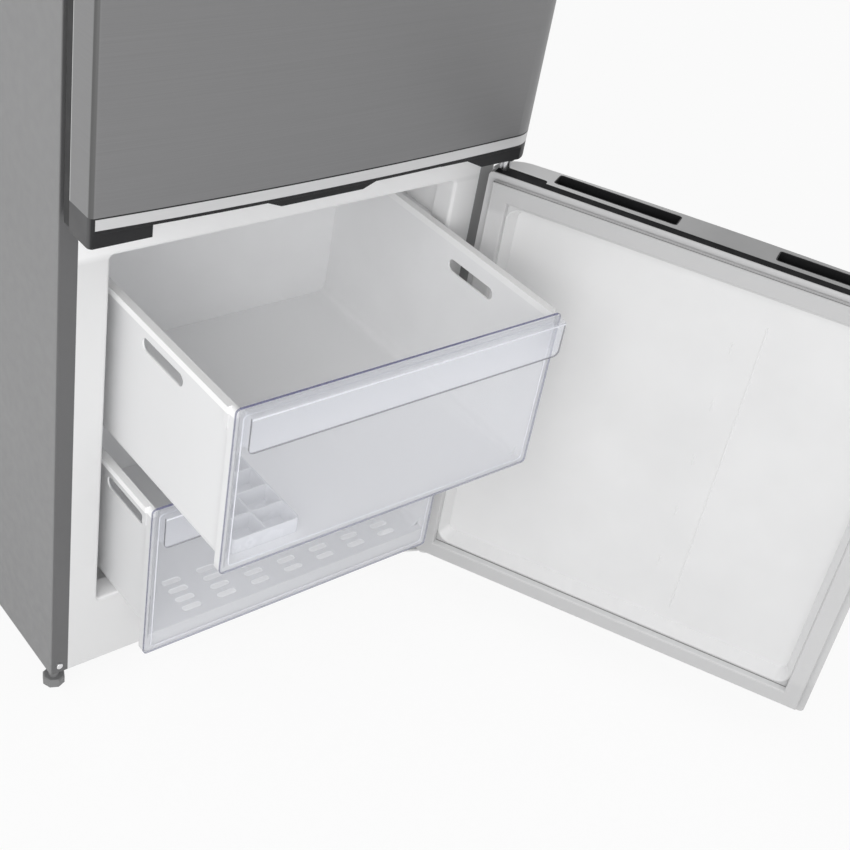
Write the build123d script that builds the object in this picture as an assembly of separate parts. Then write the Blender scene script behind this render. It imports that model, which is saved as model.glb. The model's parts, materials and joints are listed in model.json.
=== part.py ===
from build123d import *
import math
import os

# A tall two-door refrigerator with the freezer below, in millimetres.
# The origin is on the floor under the middle of the cabinet: X to the right, Y to the back, Z up.
# Depths are measured back from the cabinet's front plane, so what stands in front of it is negative.

# Cabinet
CABINET_WIDTH = 700.0
CABINET_DEPTH = 650.0
CABINET_BASE = 40.0  # lower edge of the cabinet above the floor
CABINET_TOP = 1900.0
SHEET = 1.0  # painted steel
PAN_SHEET = 1.5  # galvanised steel of the base
FLANGE = 27.0  # steel turned inwards along the front
SHELL_BEND = 3.0
LINER = 2.0  # white plastic liner
CUT = 1.0  # how far a cut runs past the face it opens
NEAR = 0.01  # two places closer than this are the same

# Freezer compartment
FREEZER_LIP = 45.0  # white border between flange and opening
SILL = 122.0  # opening above the cabinet's lower edge
FREEZER_OPENING = 582.0
FREEZER_MOUTH = 36.0  # depth of the mouth
FREEZER_ROLL = 5.0
MOUTH_STEP = 6.0  # the compartment is wider than its mouth by this on each side
MOUTH_CORNER = 6.0
FREEZER_BACK = 75.0  # from the compartment's back to the cabinet's
CAVITY_CORNER = 16.0

# Refrigerator compartment
FRIDGE_LIP = 33.0
FRIDGE_LOW_LIP = 47.0
FRIDGE_TOP_LIP = 35.0
FRIDGE_MOUTH = 30.0
FRIDGE_ROLL = 18.0
FRIDGE_BACK = 70.0

# Machine bay
BAY_DEPTH = 242.0
BAY_TOP = 300.0
BAY_FOAM = 56.0  # between the freezer's low part and the bay

# Doors
DOOR_GAP = 14.0  # closed door to cabinet, filled by the gasket
DOOR_EDGE = 62.0  # thickness at the sides
DOOR_CROWN = 10.0  # how much the front bows out
DOOR_CORNER = 7.0
DOOR_HINGE_CORNER = 48.0  # the wide round of the hinged side
DOOR_FRAME = 13.0  # plastic frame behind the steel
DOOR_LOW_GAP = 10.0  # freezer door above the cabinet's lower edge
DOOR_OVERLAP = 28.0  # freezer door above its opening
DOOR_SPACING = 38.0
DOOR_TOP_GAP = 3.0
FREEZER_DOOR_OPEN = 117.5  # degrees, as it stands at rest
FRAME_SIDE = 40.0
FRAME_TOP = 46.0
FRAME_LOW = 40.0
RECESS_DEPTH = 25.0
RECESS_TAPER = 20.0
RECESS_CORNER = 22.0
FREEZER_SEAL_SIDE = 12.0  # seal from the door's sides
FREEZER_SEAL_END = 9.0
FREEZER_SEAL_WIDTH = 27.0
FRIDGE_SEAL_SIDE = 16.0
FRIDGE_SEAL_END = 6.0
FRIDGE_SEAL_WIDTH = 22.0
SEAL_CLEARANCE = 0.3
FREEZER_TOP_CAP = 26.0
FREEZER_LOW_CAP = 20.0
FRIDGE_TOP_CAP = 24.0
FRIDGE_LOW_CAP = 40.0

# Grips between the doors
GRIP_LENGTH = 189.0
GRIP_WIDTH = 33.0
GRIP_DEPTH = 21.0
GRIP_CENTRE = 167.0
GRIP_BEHIND = 29.0  # from the door's inner face
GRIP_CORNER = 5.0
GRIP_WALL = 1.5
CAP_BLOCK = 83.0  # deep end of the lower cap
CAP_HINGE_BLOCK = 102.0  # its other end, at the hinge
CAP_RAMP = 40.0
CAP_RECESS = 19.0
CAP_HUMP = 64.0
CAP_HUMP_X = -15.0
CAP_HUMP_SLOPE = 48.0
CAP_HUMP_SETBACK = 7.0
FINGER_DEPTH = 44.0
TRIM_HEIGHT = 14.5
TRIM_DROP = 2.0  # strip below the steel
TRIM_THICKNESS = 1.5
TRIM_INSET = 7.0
TRIM_WRAP = 26.0  # how far the strip runs round the hinged corner
HINGE_TRIM_INSET = 2.0  # black strip from the freezer door's inner face
HINGE_TRIM_NARROW = 18.5  # its front edge from the same face
HINGE_TRIM_WIDE = 28.0  # its wide end, at the hinge
HINGE_TRIM_LENGTH = 81.0
HINGE_TRIM_HEIGHT = 6.0

# Hinges
HINGE_SIDE = 14.5  # axis from the cabinet's right side
HINGE_AHEAD = 35.0  # axis ahead of the front plane
PIN_RADIUS = 4.0
PIN_REACH = 16.0
COLLAR_RADIUS = 8.0
RUNNING = 0.05  # radial clearance of a turning fit
SEAT = 0.3  # clearance under a part that rests or slides
HINGE_PLATE = 4.0
HINGE_PLATE_LEFT = 240.0
HINGE_PLATE_BACK = 70.0
HINGE_NOSE = 14.0
COVER_HEIGHT = 20.0
COVER_WALL = 2.0
COVER_ROUND = 4.0
COVER_MARGIN = 3.0
SCREW_RADIUS = 5.0
SCREW_HEAD = 2.5
SCREW_ROUND = 1.0

# Freezer drawers
DRAWER_GAP = 24.0  # drawer to the side of the opening
DRAWER_BEHIND = 4.0  # behind a shut drawer
FRONT_DROP = 27.0  # the lower front hangs this far below the sill
LOWER_FRONT_HEIGHT = 270.0
UPPER_FRONT_HEIGHT = 258.0
FRONT_SPACING = 20.0
FRONT_SHEET = 3.0
FRONT_OVERHANG = 6.0  # front and flange past the tub's sides
FRONT_CORNER = 6.0
TUB_FLANGE = 12.0
TUB_WALL = 2.5
TUB_CORNER = 20.0
TUB_RISE = 5.0  # tub floor above the front's lower edge
TUB_TOP_DROP = 3.0
UPPER_OUT = 256.0  # how far each drawer is pulled out at rest
LOWER_OUT = 91.0
RIM_OUT = 9.0
RIM_HEIGHT = 10.0
SLOT_LENGTH = 100.0
SLOT_HEIGHT = 19.0
SLOT_DROP = 32.0
UPPER_SLOT = 111.0
LOWER_SLOT = 18.0
LIP_REACH = 20.0
LIP_HEIGHT = 55.0
LIP_SHEET = 2.5
LIP_INSET = 9.0
LIP_CORNER = 8.0
RAIL_HEIGHT = 7.0
RAIL_GAP = 2.5
STOP_WIDTH = 7.0
STOP_LENGTH = 10.0
STOP_HEIGHT = 34.0
VENT_COLUMNS = 7
VENT_ROWS = 4
VENT_PITCH_X = 60.0
VENT_PITCH_Y = 20.0
VENT_LENGTH = 32.0
VENT_WIDTH = 11.0
VENT_CENTRE = 12.0
VENT_START = 8.0

# Ice tray
TRAY_WIDTH = 102.0
TRAY_LENGTH = 232.0
TRAY_HEIGHT = 24.0
TRAY_WALL = 2.0
TRAY_ROWS = 6
TRAY_COLUMNS = 2
TRAY_BACK = 2.0

# Refrigerator fittings
SHELF_GLASS = 4.0
SHELF_FRONT = 128.0
SHELF_BEHIND = 20.0
SHELF_COUNT = 3
TOP_SHELF_ROOM = 242.0
LEDGE_WIDTH = 9.0
LEDGE_HEIGHT = 6.0
SHELF_TRIM = 12.0
SHELF_TRIM_HEIGHT = 14.0
CRISPER_HEIGHT = 196.0
CRISPER_WALL = 2.5
CRISPER_GAP = 4.0
CRISPER_BEHIND = 80.0
CRISPER_LIP = 14.0
DIKE_WIDTH = 30.0
DIKE_INSET = 84.0  # outer side of a dike from the door's edge
DIKE_REACH = 62.0
BIN_REACH = 92.0
BIN_HEIGHT = 96.0
BOTTLE_BIN_HEIGHT = 130.0
BIN_WALL = 2.5
BIN_LOW = 64.0
BIN_TOP_ROOM = 276.0
BIN_COUNT = 3
DOOR_RECESS = 10.0
CONTROL_HALF = 150.0
CONTROL_HEIGHT = 46.0
CONTROL_FRONT = 92.0
CONTROL_BACK = 330.0
CONTROL_WALL = 2.0
LENS_HALF = 70.0
LENS_FRONT = 140.0
LENS_BACK = 290.0
KNOB_RADIUS = 19.0
KNOB_DEPTH = 15.0
KNOB_X = 95.0
KNOB_SHAFT = 3.0
KNOB_SHAFT_REACH = 8.0
KNOB_GRIP = 6.0
KNOB_EDGE = 1.0

# Cooling machine
COVER_PLATE = 3.0
RETURN_RISE = 34.0  # return slots above the cover's lower edge
FAN_RADIUS = 56.0
FAN_HOLE = 62.0
FAN_HUB = 17.0
FAN_BLADES = 5
FAN_BLADE = 1.6
FAN_WIDTH = 18.0
FAN_CHORD = 27.0
FAN_ROOT = 2.0
FAN_GAP = 2.0
FAN_PITCH = 32.0
FAN_DROP = 90.0
MOTOR_RADIUS = 22.0
MOTOR_LENGTH = 26.0
SHAFT_RADIUS = 2.5
STRUT_WIDTH = 10.0
COIL_HALF = 210.0
COIL_FINS = 15
COIL_FIN = 1.0
COIL_ROWS = 6
COIL_TUBE = 4.0
COIL_HEIGHT = 150.0
COIL_THICKNESS = 50.0
COIL_AHEAD = 2.0
COIL_BEHIND = 17.0
COMPRESSOR_RADIUS = 72.0
COMPRESSOR_HEIGHT = 150.0
COMPRESSOR_DOME = 46.0
COMPRESSOR_X = -120.0
COMPRESSOR_FOOT = 3.0
COMPRESSOR_FOOT_X = 92.0
COMPRESSOR_FOOT_Y = 62.0
GROMMET_RADIUS = 11.0
GROMMET_HEIGHT = 16.0
RELAY_SINK = 8.0
RELAY_REACH = 26.0
RELAY_HALF = 30.0
RELAY_LOW = 30.0
RELAY_HEIGHT = 60.0
RELAY_CORNER = 6.0
DRIP_HEIGHT = 32.0
DRIP_WALL = 2.0
DRIP_HALF = 84.0
PIPE_RADIUS = 3.0
PIPE_BEND = 18.0
SUCTION_REACH = 60.0
PIPE_RISE = 50.0  # where the pipes leave the can
DRIER_RADIUS = 9.0
DRIER_LENGTH = 90.0
DRIER_RISE = 60.0
DRIER_END = 4.5
DRIER_X = 150.0
CONDENSER_RUNS = 14
CONDENSER_PITCH = 70.0
CONDENSER_STRAIGHT = 2.0  # between two bends
CONDENSER_HALF = 270.0
CONDENSER_TUBE = 2.5
CONDENSER_WIRES = 19
CONDENSER_WIRE = 0.9
CONDENSER_WIRE_INSET = 105.0  # outer wires from the tube's ends
CONDENSER_GAP = 12.0
SPACER_DEPTH = 25.0
SPACER_WIDTH = 44.0
SPACER_HEIGHT = 60.0
INLET_X = 262.0
INLET_WIDTH = 50.0
INLET_HEIGHT = 34.0
INLET_DEPTH = 40.0
INLET_WALL = 3.0
BLADE_PITCH = 10.0
BLADE_HALF = 1.0
BLADE_HEIGHT = 8.0

# Feet and rollers
FOOT_INSET = 17.0
FOOT_DEPTH = 24.0
FOOT_RADIUS = 17.0
FOOT_SIDES = 8
FOOT_HEIGHT = 14.0
FOOT_BEVEL = 2.0
NECK_RADIUS = 8.0
NECK_TOP = 30.0
STEM_RADIUS = 5.0
STEM_TOP = 78.0
NUT_RADIUS = 9.0
NUT_HEIGHT = 12.0
ROLLER_RADIUS = 18.0
ROLLER_WIDTH = 20.0
ROLLER_BEVEL = 1.5
ROLLER_SIDE = 50.0  # roller from the cabinet's side
ROLLER_BACK = 50.0
AXLE_RADIUS = 3.0
CHEEK = 2.0
CHEEK_GAP = 0.5
CHEEK_HALF = 12.0

# Places that follow from the sizes above
HALF = CABINET_WIDTH / 2
LIP_HALF = HALF - FLANGE
FREEZER_HALF = LIP_HALF - FREEZER_LIP
FREEZER_LOW = CABINET_BASE + SILL
FREEZER_HIGH = FREEZER_LOW + FREEZER_OPENING
FRIDGE_HALF = LIP_HALF - FRIDGE_LIP
AXIS_X = HALF - HINGE_SIDE
DOOR_INNER = -DOOR_GAP
DOOR_FACE = DOOR_INNER - DOOR_EDGE
FRAME_FRONT = DOOR_INNER - DOOR_FRAME
FREEZER_DOOR_LOW = CABINET_BASE + DOOR_LOW_GAP
FREEZER_DOOR_HIGH = FREEZER_HIGH + DOOR_OVERLAP
FRIDGE_DOOR_LOW = FREEZER_DOOR_HIGH + DOOR_SPACING
FRIDGE_DOOR_HIGH = CABINET_TOP - DOOR_TOP_GAP
SPLIT = FREEZER_DOOR_HIGH + DOOR_SPACING / 2  # where the two liners meet
FRIDGE_OPENING_LOW = SPLIT + FRIDGE_LOW_LIP
FRIDGE_OPENING_TOP = CABINET_TOP - FLANGE - FRIDGE_TOP_LIP
FREEZER_DEPTH = CABINET_DEPTH - FREEZER_BACK
FRIDGE_DEPTH = CABINET_DEPTH - FRIDGE_BACK
BAY_FRONT = CABINET_DEPTH - BAY_DEPTH
STEP_DEPTH = BAY_FRONT - BAY_FOAM
COVER_DEPTH = FREEZER_DEPTH - COIL_BEHIND - COIL_THICKNESS - COIL_AHEAD - COVER_PLATE
UPPER_TUB = COVER_DEPTH - DRAWER_BEHIND - RIM_OUT
LOWER_TUB = STEP_DEPTH - DRAWER_BEHIND - RIM_OUT
LOWER_LOW = FREEZER_LOW - FRONT_DROP
LOWER_HIGH = LOWER_LOW + LOWER_FRONT_HEIGHT
UPPER_LOW = LOWER_HIGH + FRONT_SPACING
UPPER_HIGH = UPPER_LOW + UPPER_FRONT_HEIGHT
STEP_TOP = UPPER_LOW - FRONT_SPACING / 2
DRAWER_HALF = FREEZER_HALF - DRAWER_GAP
FRONT_HALF = DRAWER_HALF + FRONT_OVERHANG
FREEZER_WALL = FREEZER_HALF + MOUTH_STEP
FREEZER_FLOOR = FREEZER_LOW - MOUTH_STEP
FREEZER_CEILING = FREEZER_HIGH + MOUTH_STEP
FRIDGE_WALL = FRIDGE_HALF + MOUTH_STEP
FRIDGE_FLOOR = FRIDGE_OPENING_LOW - MOUTH_STEP
FRIDGE_CEILING = FRIDGE_OPENING_TOP + MOUTH_STEP
CRISPER_TOP = FRIDGE_FLOOR + CRISPER_HEIGHT
CRISPER_BACK = FRIDGE_DEPTH - CRISPER_BEHIND
SHELF_BACK = FRIDGE_DEPTH - SHELF_BEHIND
SHELF_PITCH = (FRIDGE_CEILING - TOP_SHELF_ROOM - CRISPER_TOP - SHELF_GLASS) / SHELF_COUNT
BIN_START = FRIDGE_OPENING_LOW + BIN_LOW
BIN_PITCH = (FRIDGE_OPENING_TOP - BIN_TOP_ROOM - BIN_START) / (BIN_COUNT - 1)
ROLLER_DEPTH = CABINET_DEPTH - ROLLER_BACK
ROLLER_X = HALF - ROLLER_SIDE
PLATE_RIGHT = HALF - COVER_MARGIN


def y_at(depth):
    """The y of a depth behind the cabinet's front plane."""
    return depth - CABINET_DEPTH / 2


def block(x0, x1, d0, d1, z0, z1):
    """A block between two widths, two depths and two heights."""
    middle = Pos((x0 + x1) / 2, y_at((d0 + d1) / 2), (z0 + z1) / 2)
    return middle * Box(x1 - x0, d1 - d0, z1 - z0)


def wide(half, d0, d1, z0, z1):
    """A block centred on the cabinet's middle."""
    return block(-half, half, d0, d1, z0, z1)


def facing(depth):
    """A plane that faces the front at this depth."""
    return Plane(origin=(0, y_at(depth), 0), x_dir=(1, 0, 0), z_dir=(0, -1, 0))


def outline(x0, x1, z0, z1, corner):
    """A rectangle with round corners, seen from the front."""
    return Pos((x0 + x1) / 2, (z0 + z1) / 2) * RectangleRounded(x1 - x0, z1 - z0, corner)


def rounded(x0, x1, d0, d1, z0, z1, corner):
    """A block whose edges along the depth are round."""
    return extrude(facing(d1) * outline(x0, x1, z0, z1, corner), d1 - d0)


def post(x, depth, z0, z1, radius):
    """An upright cylinder."""
    low = Pos(x, y_at(depth), z0)
    return low * Cylinder(radius, z1 - z0, align=(Align.CENTER, Align.CENTER, Align.MIN))


def rod(x, d0, d1, z, radius):
    """A cylinder that lies along the depth."""
    return extrude(facing(d1) * Pos(x, z) * Circle(radius), d1 - d0)


def cross(x0, x1, depth, z, radius):
    """A cylinder that lies across the cabinet."""
    side = Plane(origin=(x0, y_at(depth), z), x_dir=(0, 1, 0), z_dir=(1, 0, 0))
    return extrude(side * Circle(radius), x1 - x0)


def both(piece):
    """A piece and its mirror image on the other side of the cabinet."""
    return [piece, mirror(piece, Plane.YZ)]


def group(pieces):
    """Separate solids kept in one node."""
    solids = []
    for piece in pieces:
        solids += piece.solids()
    return Compound(children=solids)


def swing(piece):
    """Turn a freezer door piece from closed to where it stands at rest."""
    axis = Axis((AXIS_X, y_at(-HINGE_AHEAD), 0), (0, 0, 1))
    return piece.rotate(axis, FREEZER_DOOR_OPEN)


def pull(piece, out):
    """Draw a drawer piece out of the freezer."""
    return Pos(0, -out, 0) * piece


parts = {}


# Liners and shell

def mouth(border, low, high, half, z0, z1, d0, d1, roll, corner):
    """A frame round an opening whose front edge is rolled outwards."""
    frame = wide(border, d0, d1, low, high)
    frame -= rounded(-half, half, d0 - CUT, d1 + CUT, z0, z1, corner)
    front = y_at(d0)

    def on_rim(edge):
        centre = edge.center(CenterOf.BOUNDING_BOX)
        flat = abs(centre.Y - front) < NEAR
        return flat and abs(centre.X) < half + NEAR and z0 - NEAR < centre.Z < z1 + NEAR

    return fillet(frame.edges().filter_by(on_rim), roll)


def lip_and_backing(low, high, half, z0, z1, depth, roll):
    """The white lip of a liner, and the insulation right behind it."""
    skin = mouth(LIP_HALF, low, high, half, z0, z1, 0, depth, roll, MOUTH_CORNER)
    backing = mouth(
        HALF - SHEET, low, high, half + LINER, z0 - LINER, z1 + LINER,
        LINER, depth, roll - LINER, MOUTH_CORNER + LINER,
    )
    return skin - backing, backing


def freezer_space(grow):
    """The stepped freezer compartment, grown by the liner's thickness or not at all."""
    half = FREEZER_WALL + grow
    top = FREEZER_CEILING + grow
    corner = CAVITY_CORNER + grow
    front = FREEZER_MOUTH + LINER - grow
    low_part = rounded(-half, half, front, STEP_DEPTH + grow, FREEZER_FLOOR - grow, top, corner)
    high_part = rounded(-half, half, front, FREEZER_DEPTH + grow, STEP_TOP - grow, top, corner)
    return low_part + high_part


def fridge_space(grow):
    """The refrigerator compartment, grown by the liner's thickness or not at all."""
    half = FRIDGE_WALL + grow
    front = FRIDGE_MOUTH + LINER - grow
    return rounded(
        -half, half, front, FRIDGE_DEPTH + grow,
        FRIDGE_FLOOR - grow, FRIDGE_CEILING + grow, CAVITY_CORNER + grow,
    )


def shelf_height(level):
    """The underside of a glass shelf."""
    return CRISPER_TOP + SHELF_GLASS + SHELF_PITCH * (level + 1)


freezer_lip, freezer_backing = lip_and_backing(
    CABINET_BASE, SPLIT, FREEZER_HALF, FREEZER_LOW, FREEZER_HIGH, FREEZER_MOUTH, FREEZER_ROLL
)
freezer_hole = rounded(
    -FREEZER_HALF, FREEZER_HALF, 0, FREEZER_MOUTH + 2 * LINER, FREEZER_LOW, FREEZER_HIGH, MOUTH_CORNER
)
freezer_outer = freezer_space(LINER)
parts["freezer_liner"] = freezer_lip + (freezer_outer - freezer_space(0) - freezer_hole)

fridge_lip, fridge_backing = lip_and_backing(
    SPLIT, CABINET_TOP - FLANGE, FRIDGE_HALF, FRIDGE_OPENING_LOW, FRIDGE_OPENING_TOP,
    FRIDGE_MOUTH, FRIDGE_ROLL,
)
fridge_hole = rounded(
    -FRIDGE_HALF, FRIDGE_HALF, 0, FRIDGE_MOUTH + 2 * LINER,
    FRIDGE_OPENING_LOW, FRIDGE_OPENING_TOP, MOUTH_CORNER,
)
fridge_outer = fridge_space(LINER)
fridge_liner = fridge_lip + (fridge_outer - fridge_space(0) - fridge_hole)
ledge_tops = [CRISPER_TOP] + [shelf_height(level) for level in range(SHELF_COUNT)]
for ledge_top in ledge_tops:
    ledge = block(
        FRIDGE_WALL - LEDGE_WIDTH, FRIDGE_WALL, SHELF_FRONT, SHELF_BACK, ledge_top - LEDGE_HEIGHT, ledge_top
    )
    fridge_liner += both(ledge)
parts["fridge_liner"] = fridge_liner


def outer_shell():
    """Sides, top and front flanges of the cabinet, bent from one sheet."""
    back = CABINET_DEPTH - SHEET
    body = wide(HALF, 0, back, CABINET_BASE, CABINET_TOP)
    upright = body.edges().filter_by(Axis.Z).group_by(Axis.Y)[0]
    body = fillet(upright, SHELL_BEND)
    hollow = wide(HALF - SHEET, SHEET, back, CABINET_BASE, CABINET_TOP - SHEET)
    upright = hollow.edges().filter_by(Axis.Z).group_by(Axis.Y)[0]
    hollow = fillet(upright, SHELL_BEND - SHEET)
    window = wide(LIP_HALF, 0, SHEET, CABINET_BASE, CABINET_TOP - FLANGE)
    return body - hollow - window


parts["outer_shell"] = outer_shell()
parts["back_panel"] = wide(HALF, CABINET_DEPTH - SHEET, CABINET_DEPTH, BAY_TOP, CABINET_TOP)


def stem_holes(z0, z1, radius):
    """Room for the stems of the two feet."""
    return both(post(HALF - FOOT_INSET, FOOT_DEPTH, z0, z1, radius))


def base_pan():
    """The stepped steel floor under the insulation and over the machine bay."""
    inner = HALF - SHEET
    pan = wide(inner, LINER, BAY_FRONT, CABINET_BASE, CABINET_BASE + PAN_SHEET)
    pan += wide(inner, BAY_FRONT - PAN_SHEET, BAY_FRONT, CABINET_BASE, BAY_TOP + PAN_SHEET)
    pan += wide(inner, BAY_FRONT - PAN_SHEET, CABINET_DEPTH - SHEET, BAY_TOP, BAY_TOP + PAN_SHEET)
    pan += stem_holes(CABINET_BASE, CABINET_BASE + NUT_HEIGHT, NUT_RADIUS)
    pan -= stem_holes(CABINET_BASE, CABINET_BASE + NUT_HEIGHT, STEM_RADIUS + RUNNING)
    return pan - parts["outer_shell"]


parts["base_pan"] = base_pan()
parts["compressor_plate"] = wide(
    HALF - SHEET, BAY_FRONT, CABINET_DEPTH, CABINET_BASE, CABINET_BASE + 2 * PAN_SHEET
)

BEAM_LOW = FREEZER_CEILING + LINER
BEAM_HIGH = FRIDGE_FLOOR - LINER
BEAM_BACK = FRIDGE_MOUTH
parts["mullion_beam"] = wide(
    FREEZER_WALL, BEAM_BACK, BEAM_BACK + 2 * PAN_SHEET, BEAM_LOW, BEAM_HIGH
)


def cabinet_insulation():
    """The foam between shell and liners."""
    inner = HALF - SHEET
    low = CABINET_BASE + PAN_SHEET
    foam = wide(inner, FREEZER_MOUTH, CABINET_DEPTH - SHEET, low, SPLIT)
    foam += wide(inner, FRIDGE_MOUTH, CABINET_DEPTH - SHEET, SPLIT, CABINET_TOP - SHEET)
    foam += freezer_backing - wide(HALF, 0, FREEZER_MOUTH, CABINET_BASE, low)
    foam += fridge_backing
    foam -= freezer_outer
    foam -= fridge_outer
    foam -= wide(HALF, BAY_FRONT - PAN_SHEET, CABINET_DEPTH, CABINET_BASE, BAY_TOP + PAN_SHEET)
    foam -= parts["mullion_beam"]
    foam -= stem_holes(CABINET_BASE, STEM_TOP + SEAT, NUT_RADIUS)
    return foam - parts["outer_shell"]


parts["cabinet_insulation"] = cabinet_insulation()


# Hinges

def hinge_arm():
    """Plan of a hinge's arm: its nose goes round the pin and its left edge is cut back."""
    nose = y_at(-HINGE_AHEAD)
    plan = Polyline(
        (HINGE_PLATE_LEFT, y_at(0)), (PLATE_RIGHT, y_at(0)), (PLATE_RIGHT, nose),
        (AXIS_X - HINGE_NOSE, nose), (HINGE_PLATE_LEFT, y_at(0)),
    )
    return make_face(plan) + Pos(AXIS_X, nose) * Circle(PLATE_RIGHT - AXIS_X)


def hinge_plate(z, back):
    """A flat hinge plate bored for its pin, with a leg on the cabinet when it reaches back."""
    high = z + HINGE_PLATE
    plate = extrude(Pos(0, 0, z) * hinge_arm(), HINGE_PLATE)
    if back > 0:
        plate += block(HINGE_PLATE_LEFT, PLATE_RIGHT, 0, back, z, high)
    return plate - post(AXIS_X, -HINGE_AHEAD, z, high, PIN_RADIUS)


MIDDLE_PLATE_LOW = FREEZER_DOOR_HIGH + (DOOR_SPACING - HINGE_PLATE) / 2
TOP_PLATE_HIGH = CABINET_TOP + HINGE_PLATE
LOW_PLATE_LOW = CABINET_BASE - HINGE_PLATE
parts["top_hinge"] = hinge_plate(CABINET_TOP, HINGE_PLATE_BACK)
bottom_hinge = hinge_plate(LOW_PLATE_LOW, HINGE_PLATE_BACK)
bottom_hinge -= post(
    HALF - FOOT_INSET, FOOT_DEPTH, LOW_PLATE_LOW, CABINET_BASE, STEM_RADIUS + RUNNING
)
parts["bottom_hinge"] = bottom_hinge
middle_leg = block(
    HINGE_PLATE_LEFT, PLATE_RIGHT, -HINGE_PLATE, 0,
    FREEZER_DOOR_HIGH + HINGE_PLATE, FRIDGE_DOOR_LOW - HINGE_PLATE,
)
parts["middle_hinge"] = hinge_plate(MIDDLE_PLATE_LOW, 0) + middle_leg


def pin(z0, z1):
    """A bare hinge pin."""
    return post(AXIS_X, -HINGE_AHEAD, z0, z1, PIN_RADIUS)


def collar(z0, z1):
    """The shoulder of a pin that carries a door."""
    return post(AXIS_X, -HINGE_AHEAD, z0, z1, COLLAR_RADIUS)


top_pin = pin(FRIDGE_DOOR_HIGH - PIN_REACH, TOP_PLATE_HIGH)
middle_pin = pin(FREEZER_DOOR_HIGH - PIN_REACH, FRIDGE_DOOR_LOW + PIN_REACH)
middle_pin += collar(FREEZER_DOOR_HIGH + SEAT, MIDDLE_PLATE_LOW)
middle_pin += collar(MIDDLE_PLATE_LOW + HINGE_PLATE, FRIDGE_DOOR_LOW - SEAT)
bottom_pin = pin(LOW_PLATE_LOW, FREEZER_DOOR_LOW + PIN_REACH)
bottom_pin += collar(CABINET_BASE, FREEZER_DOOR_LOW - SEAT)
parts["hinge_pins"] = group([top_pin, middle_pin, bottom_pin])


def top_hinge_cover():
    """The plastic cap over the top hinge."""
    left = HINGE_PLATE_LEFT - COVER_MARGIN - COVER_WALL
    front = -HINGE_AHEAD - HINGE_SIDE - COVER_WALL
    back = HINGE_PLATE_BACK + COVER_MARGIN + COVER_WALL
    high = CABINET_TOP + COVER_HEIGHT
    cover = block(left, HALF, front, back, CABINET_TOP, high)
    cover = fillet(cover.faces().sort_by(Axis.Z)[-1].edges(), COVER_ROUND)
    room = block(
        left + COVER_WALL, HALF - COVER_WALL, front + COVER_WALL, back - COVER_WALL,
        CABINET_TOP, high - COVER_WALL,
    )
    return cover - room


parts["top_hinge_cover"] = top_hinge_cover()


def screw_down(x, depth, z):
    """A screw head on top of a plate."""
    head = post(x, depth, z, z + SCREW_HEAD, SCREW_RADIUS)
    return fillet(head.edges().group_by(Axis.Z)[-1], SCREW_ROUND)


def screw_up(x, depth, z):
    """A screw head under a plate."""
    head = post(x, depth, z - SCREW_HEAD, z, SCREW_RADIUS)
    return fillet(head.edges().group_by(Axis.Z)[0], SCREW_ROUND)


def screw_in(x, depth, z):
    """A screw head that faces the front."""
    head = rod(x, depth - SCREW_HEAD, depth, z, SCREW_RADIUS)
    return fillet(head.edges().group_by(Axis.Y)[0], SCREW_ROUND)


screws = []
for screw_step in (0.25, 0.5, 0.75):
    screw_x = HINGE_PLATE_LEFT + (PLATE_RIGHT - HINGE_PLATE_LEFT) * screw_step
    screws.append(screw_down(screw_x, HINGE_PLATE_BACK / 2, TOP_PLATE_HIGH))
for screw_step in (0.25, 0.5):
    screw_x = HINGE_PLATE_LEFT + (PLATE_RIGHT - HINGE_PLATE_LEFT) * screw_step
    screws.append(screw_up(screw_x, HINGE_PLATE_BACK / 2, LOW_PLATE_LOW))
    screw_z = MIDDLE_PLATE_LOW - (MIDDLE_PLATE_LOW - FREEZER_DOOR_HIGH - HINGE_PLATE) / 2
    screws.append(screw_in(screw_x, -HINGE_PLATE, screw_z))
screws.append(screw_in(-HALF + FLANGE / 2, 0, CABINET_BASE + FLANGE / 2))
parts["hinge_screws"] = group(screws)


# Doors

def door_plan(inset, back):
    """Plan of a door with a bowed front and a wide round at the hinge, drawn in by the inset."""
    half = HALF - inset
    edge = y_at(DOOR_FACE + inset)
    front = ThreePointArc((-half, edge), (0, edge - DOOR_CROWN), (half, edge))
    rest = Polyline((half, edge), (half, y_at(back)), (-half, y_at(back)), (-half, edge))
    plan = make_face(front + rest)
    for side, corner in ((-1, DOOR_CORNER), (1, DOOR_HINGE_CORNER)):
        ends = [v for v in plan.vertices() if abs(v.Y - edge) < NEAR and abs(v.X - side * half) < NEAR]
        plan = fillet(ends, corner - inset)
    return plan


def door_slice(inset, back, z0, z1):
    """A door's plan between two heights."""
    return extrude(Pos(0, 0, z0) * door_plan(inset, back), z1 - z0)


def door_skin(z0, z1):
    """The bent steel front and sides of a door."""
    return door_slice(0, FRAME_FRONT, z0, z1) - door_slice(SHEET, FRAME_FRONT + CUT, z0, z1)


def recess(low, high, front, depth, grow):
    """The tapered tray in a door's inner side."""
    half = HALF - FRAME_SIDE + grow
    bottom = low + FRAME_LOW - grow
    top = high - FRAME_TOP + grow
    rim = outline(-half, half, bottom, top, RECESS_CORNER + grow)
    return extrude(facing(front) * rim, depth, taper=RECESS_TAPER)


def door_frame(low, high, depth):
    """The plastic ring that closes the door's edge behind the steel."""
    ring = rounded(-HALF, HALF, FRAME_FRONT, DOOR_INNER, low, high, DOOR_CORNER)
    return ring - recess(low, high, DOOR_INNER, depth + LINER, LINER)


def gasket(low, high, side, end, width):
    """The magnetic seal round a door."""
    half = HALF - side
    z0 = low + end
    z1 = high - end
    back = -SEAL_CLEARANCE
    ring = rounded(-half, half, DOOR_INNER, back, z0, z1, DOOR_CORNER)
    return ring - rounded(
        -half + width, half - width, DOOR_INNER, back, z0 + width, z1 - width, DOOR_CORNER
    )


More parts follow.
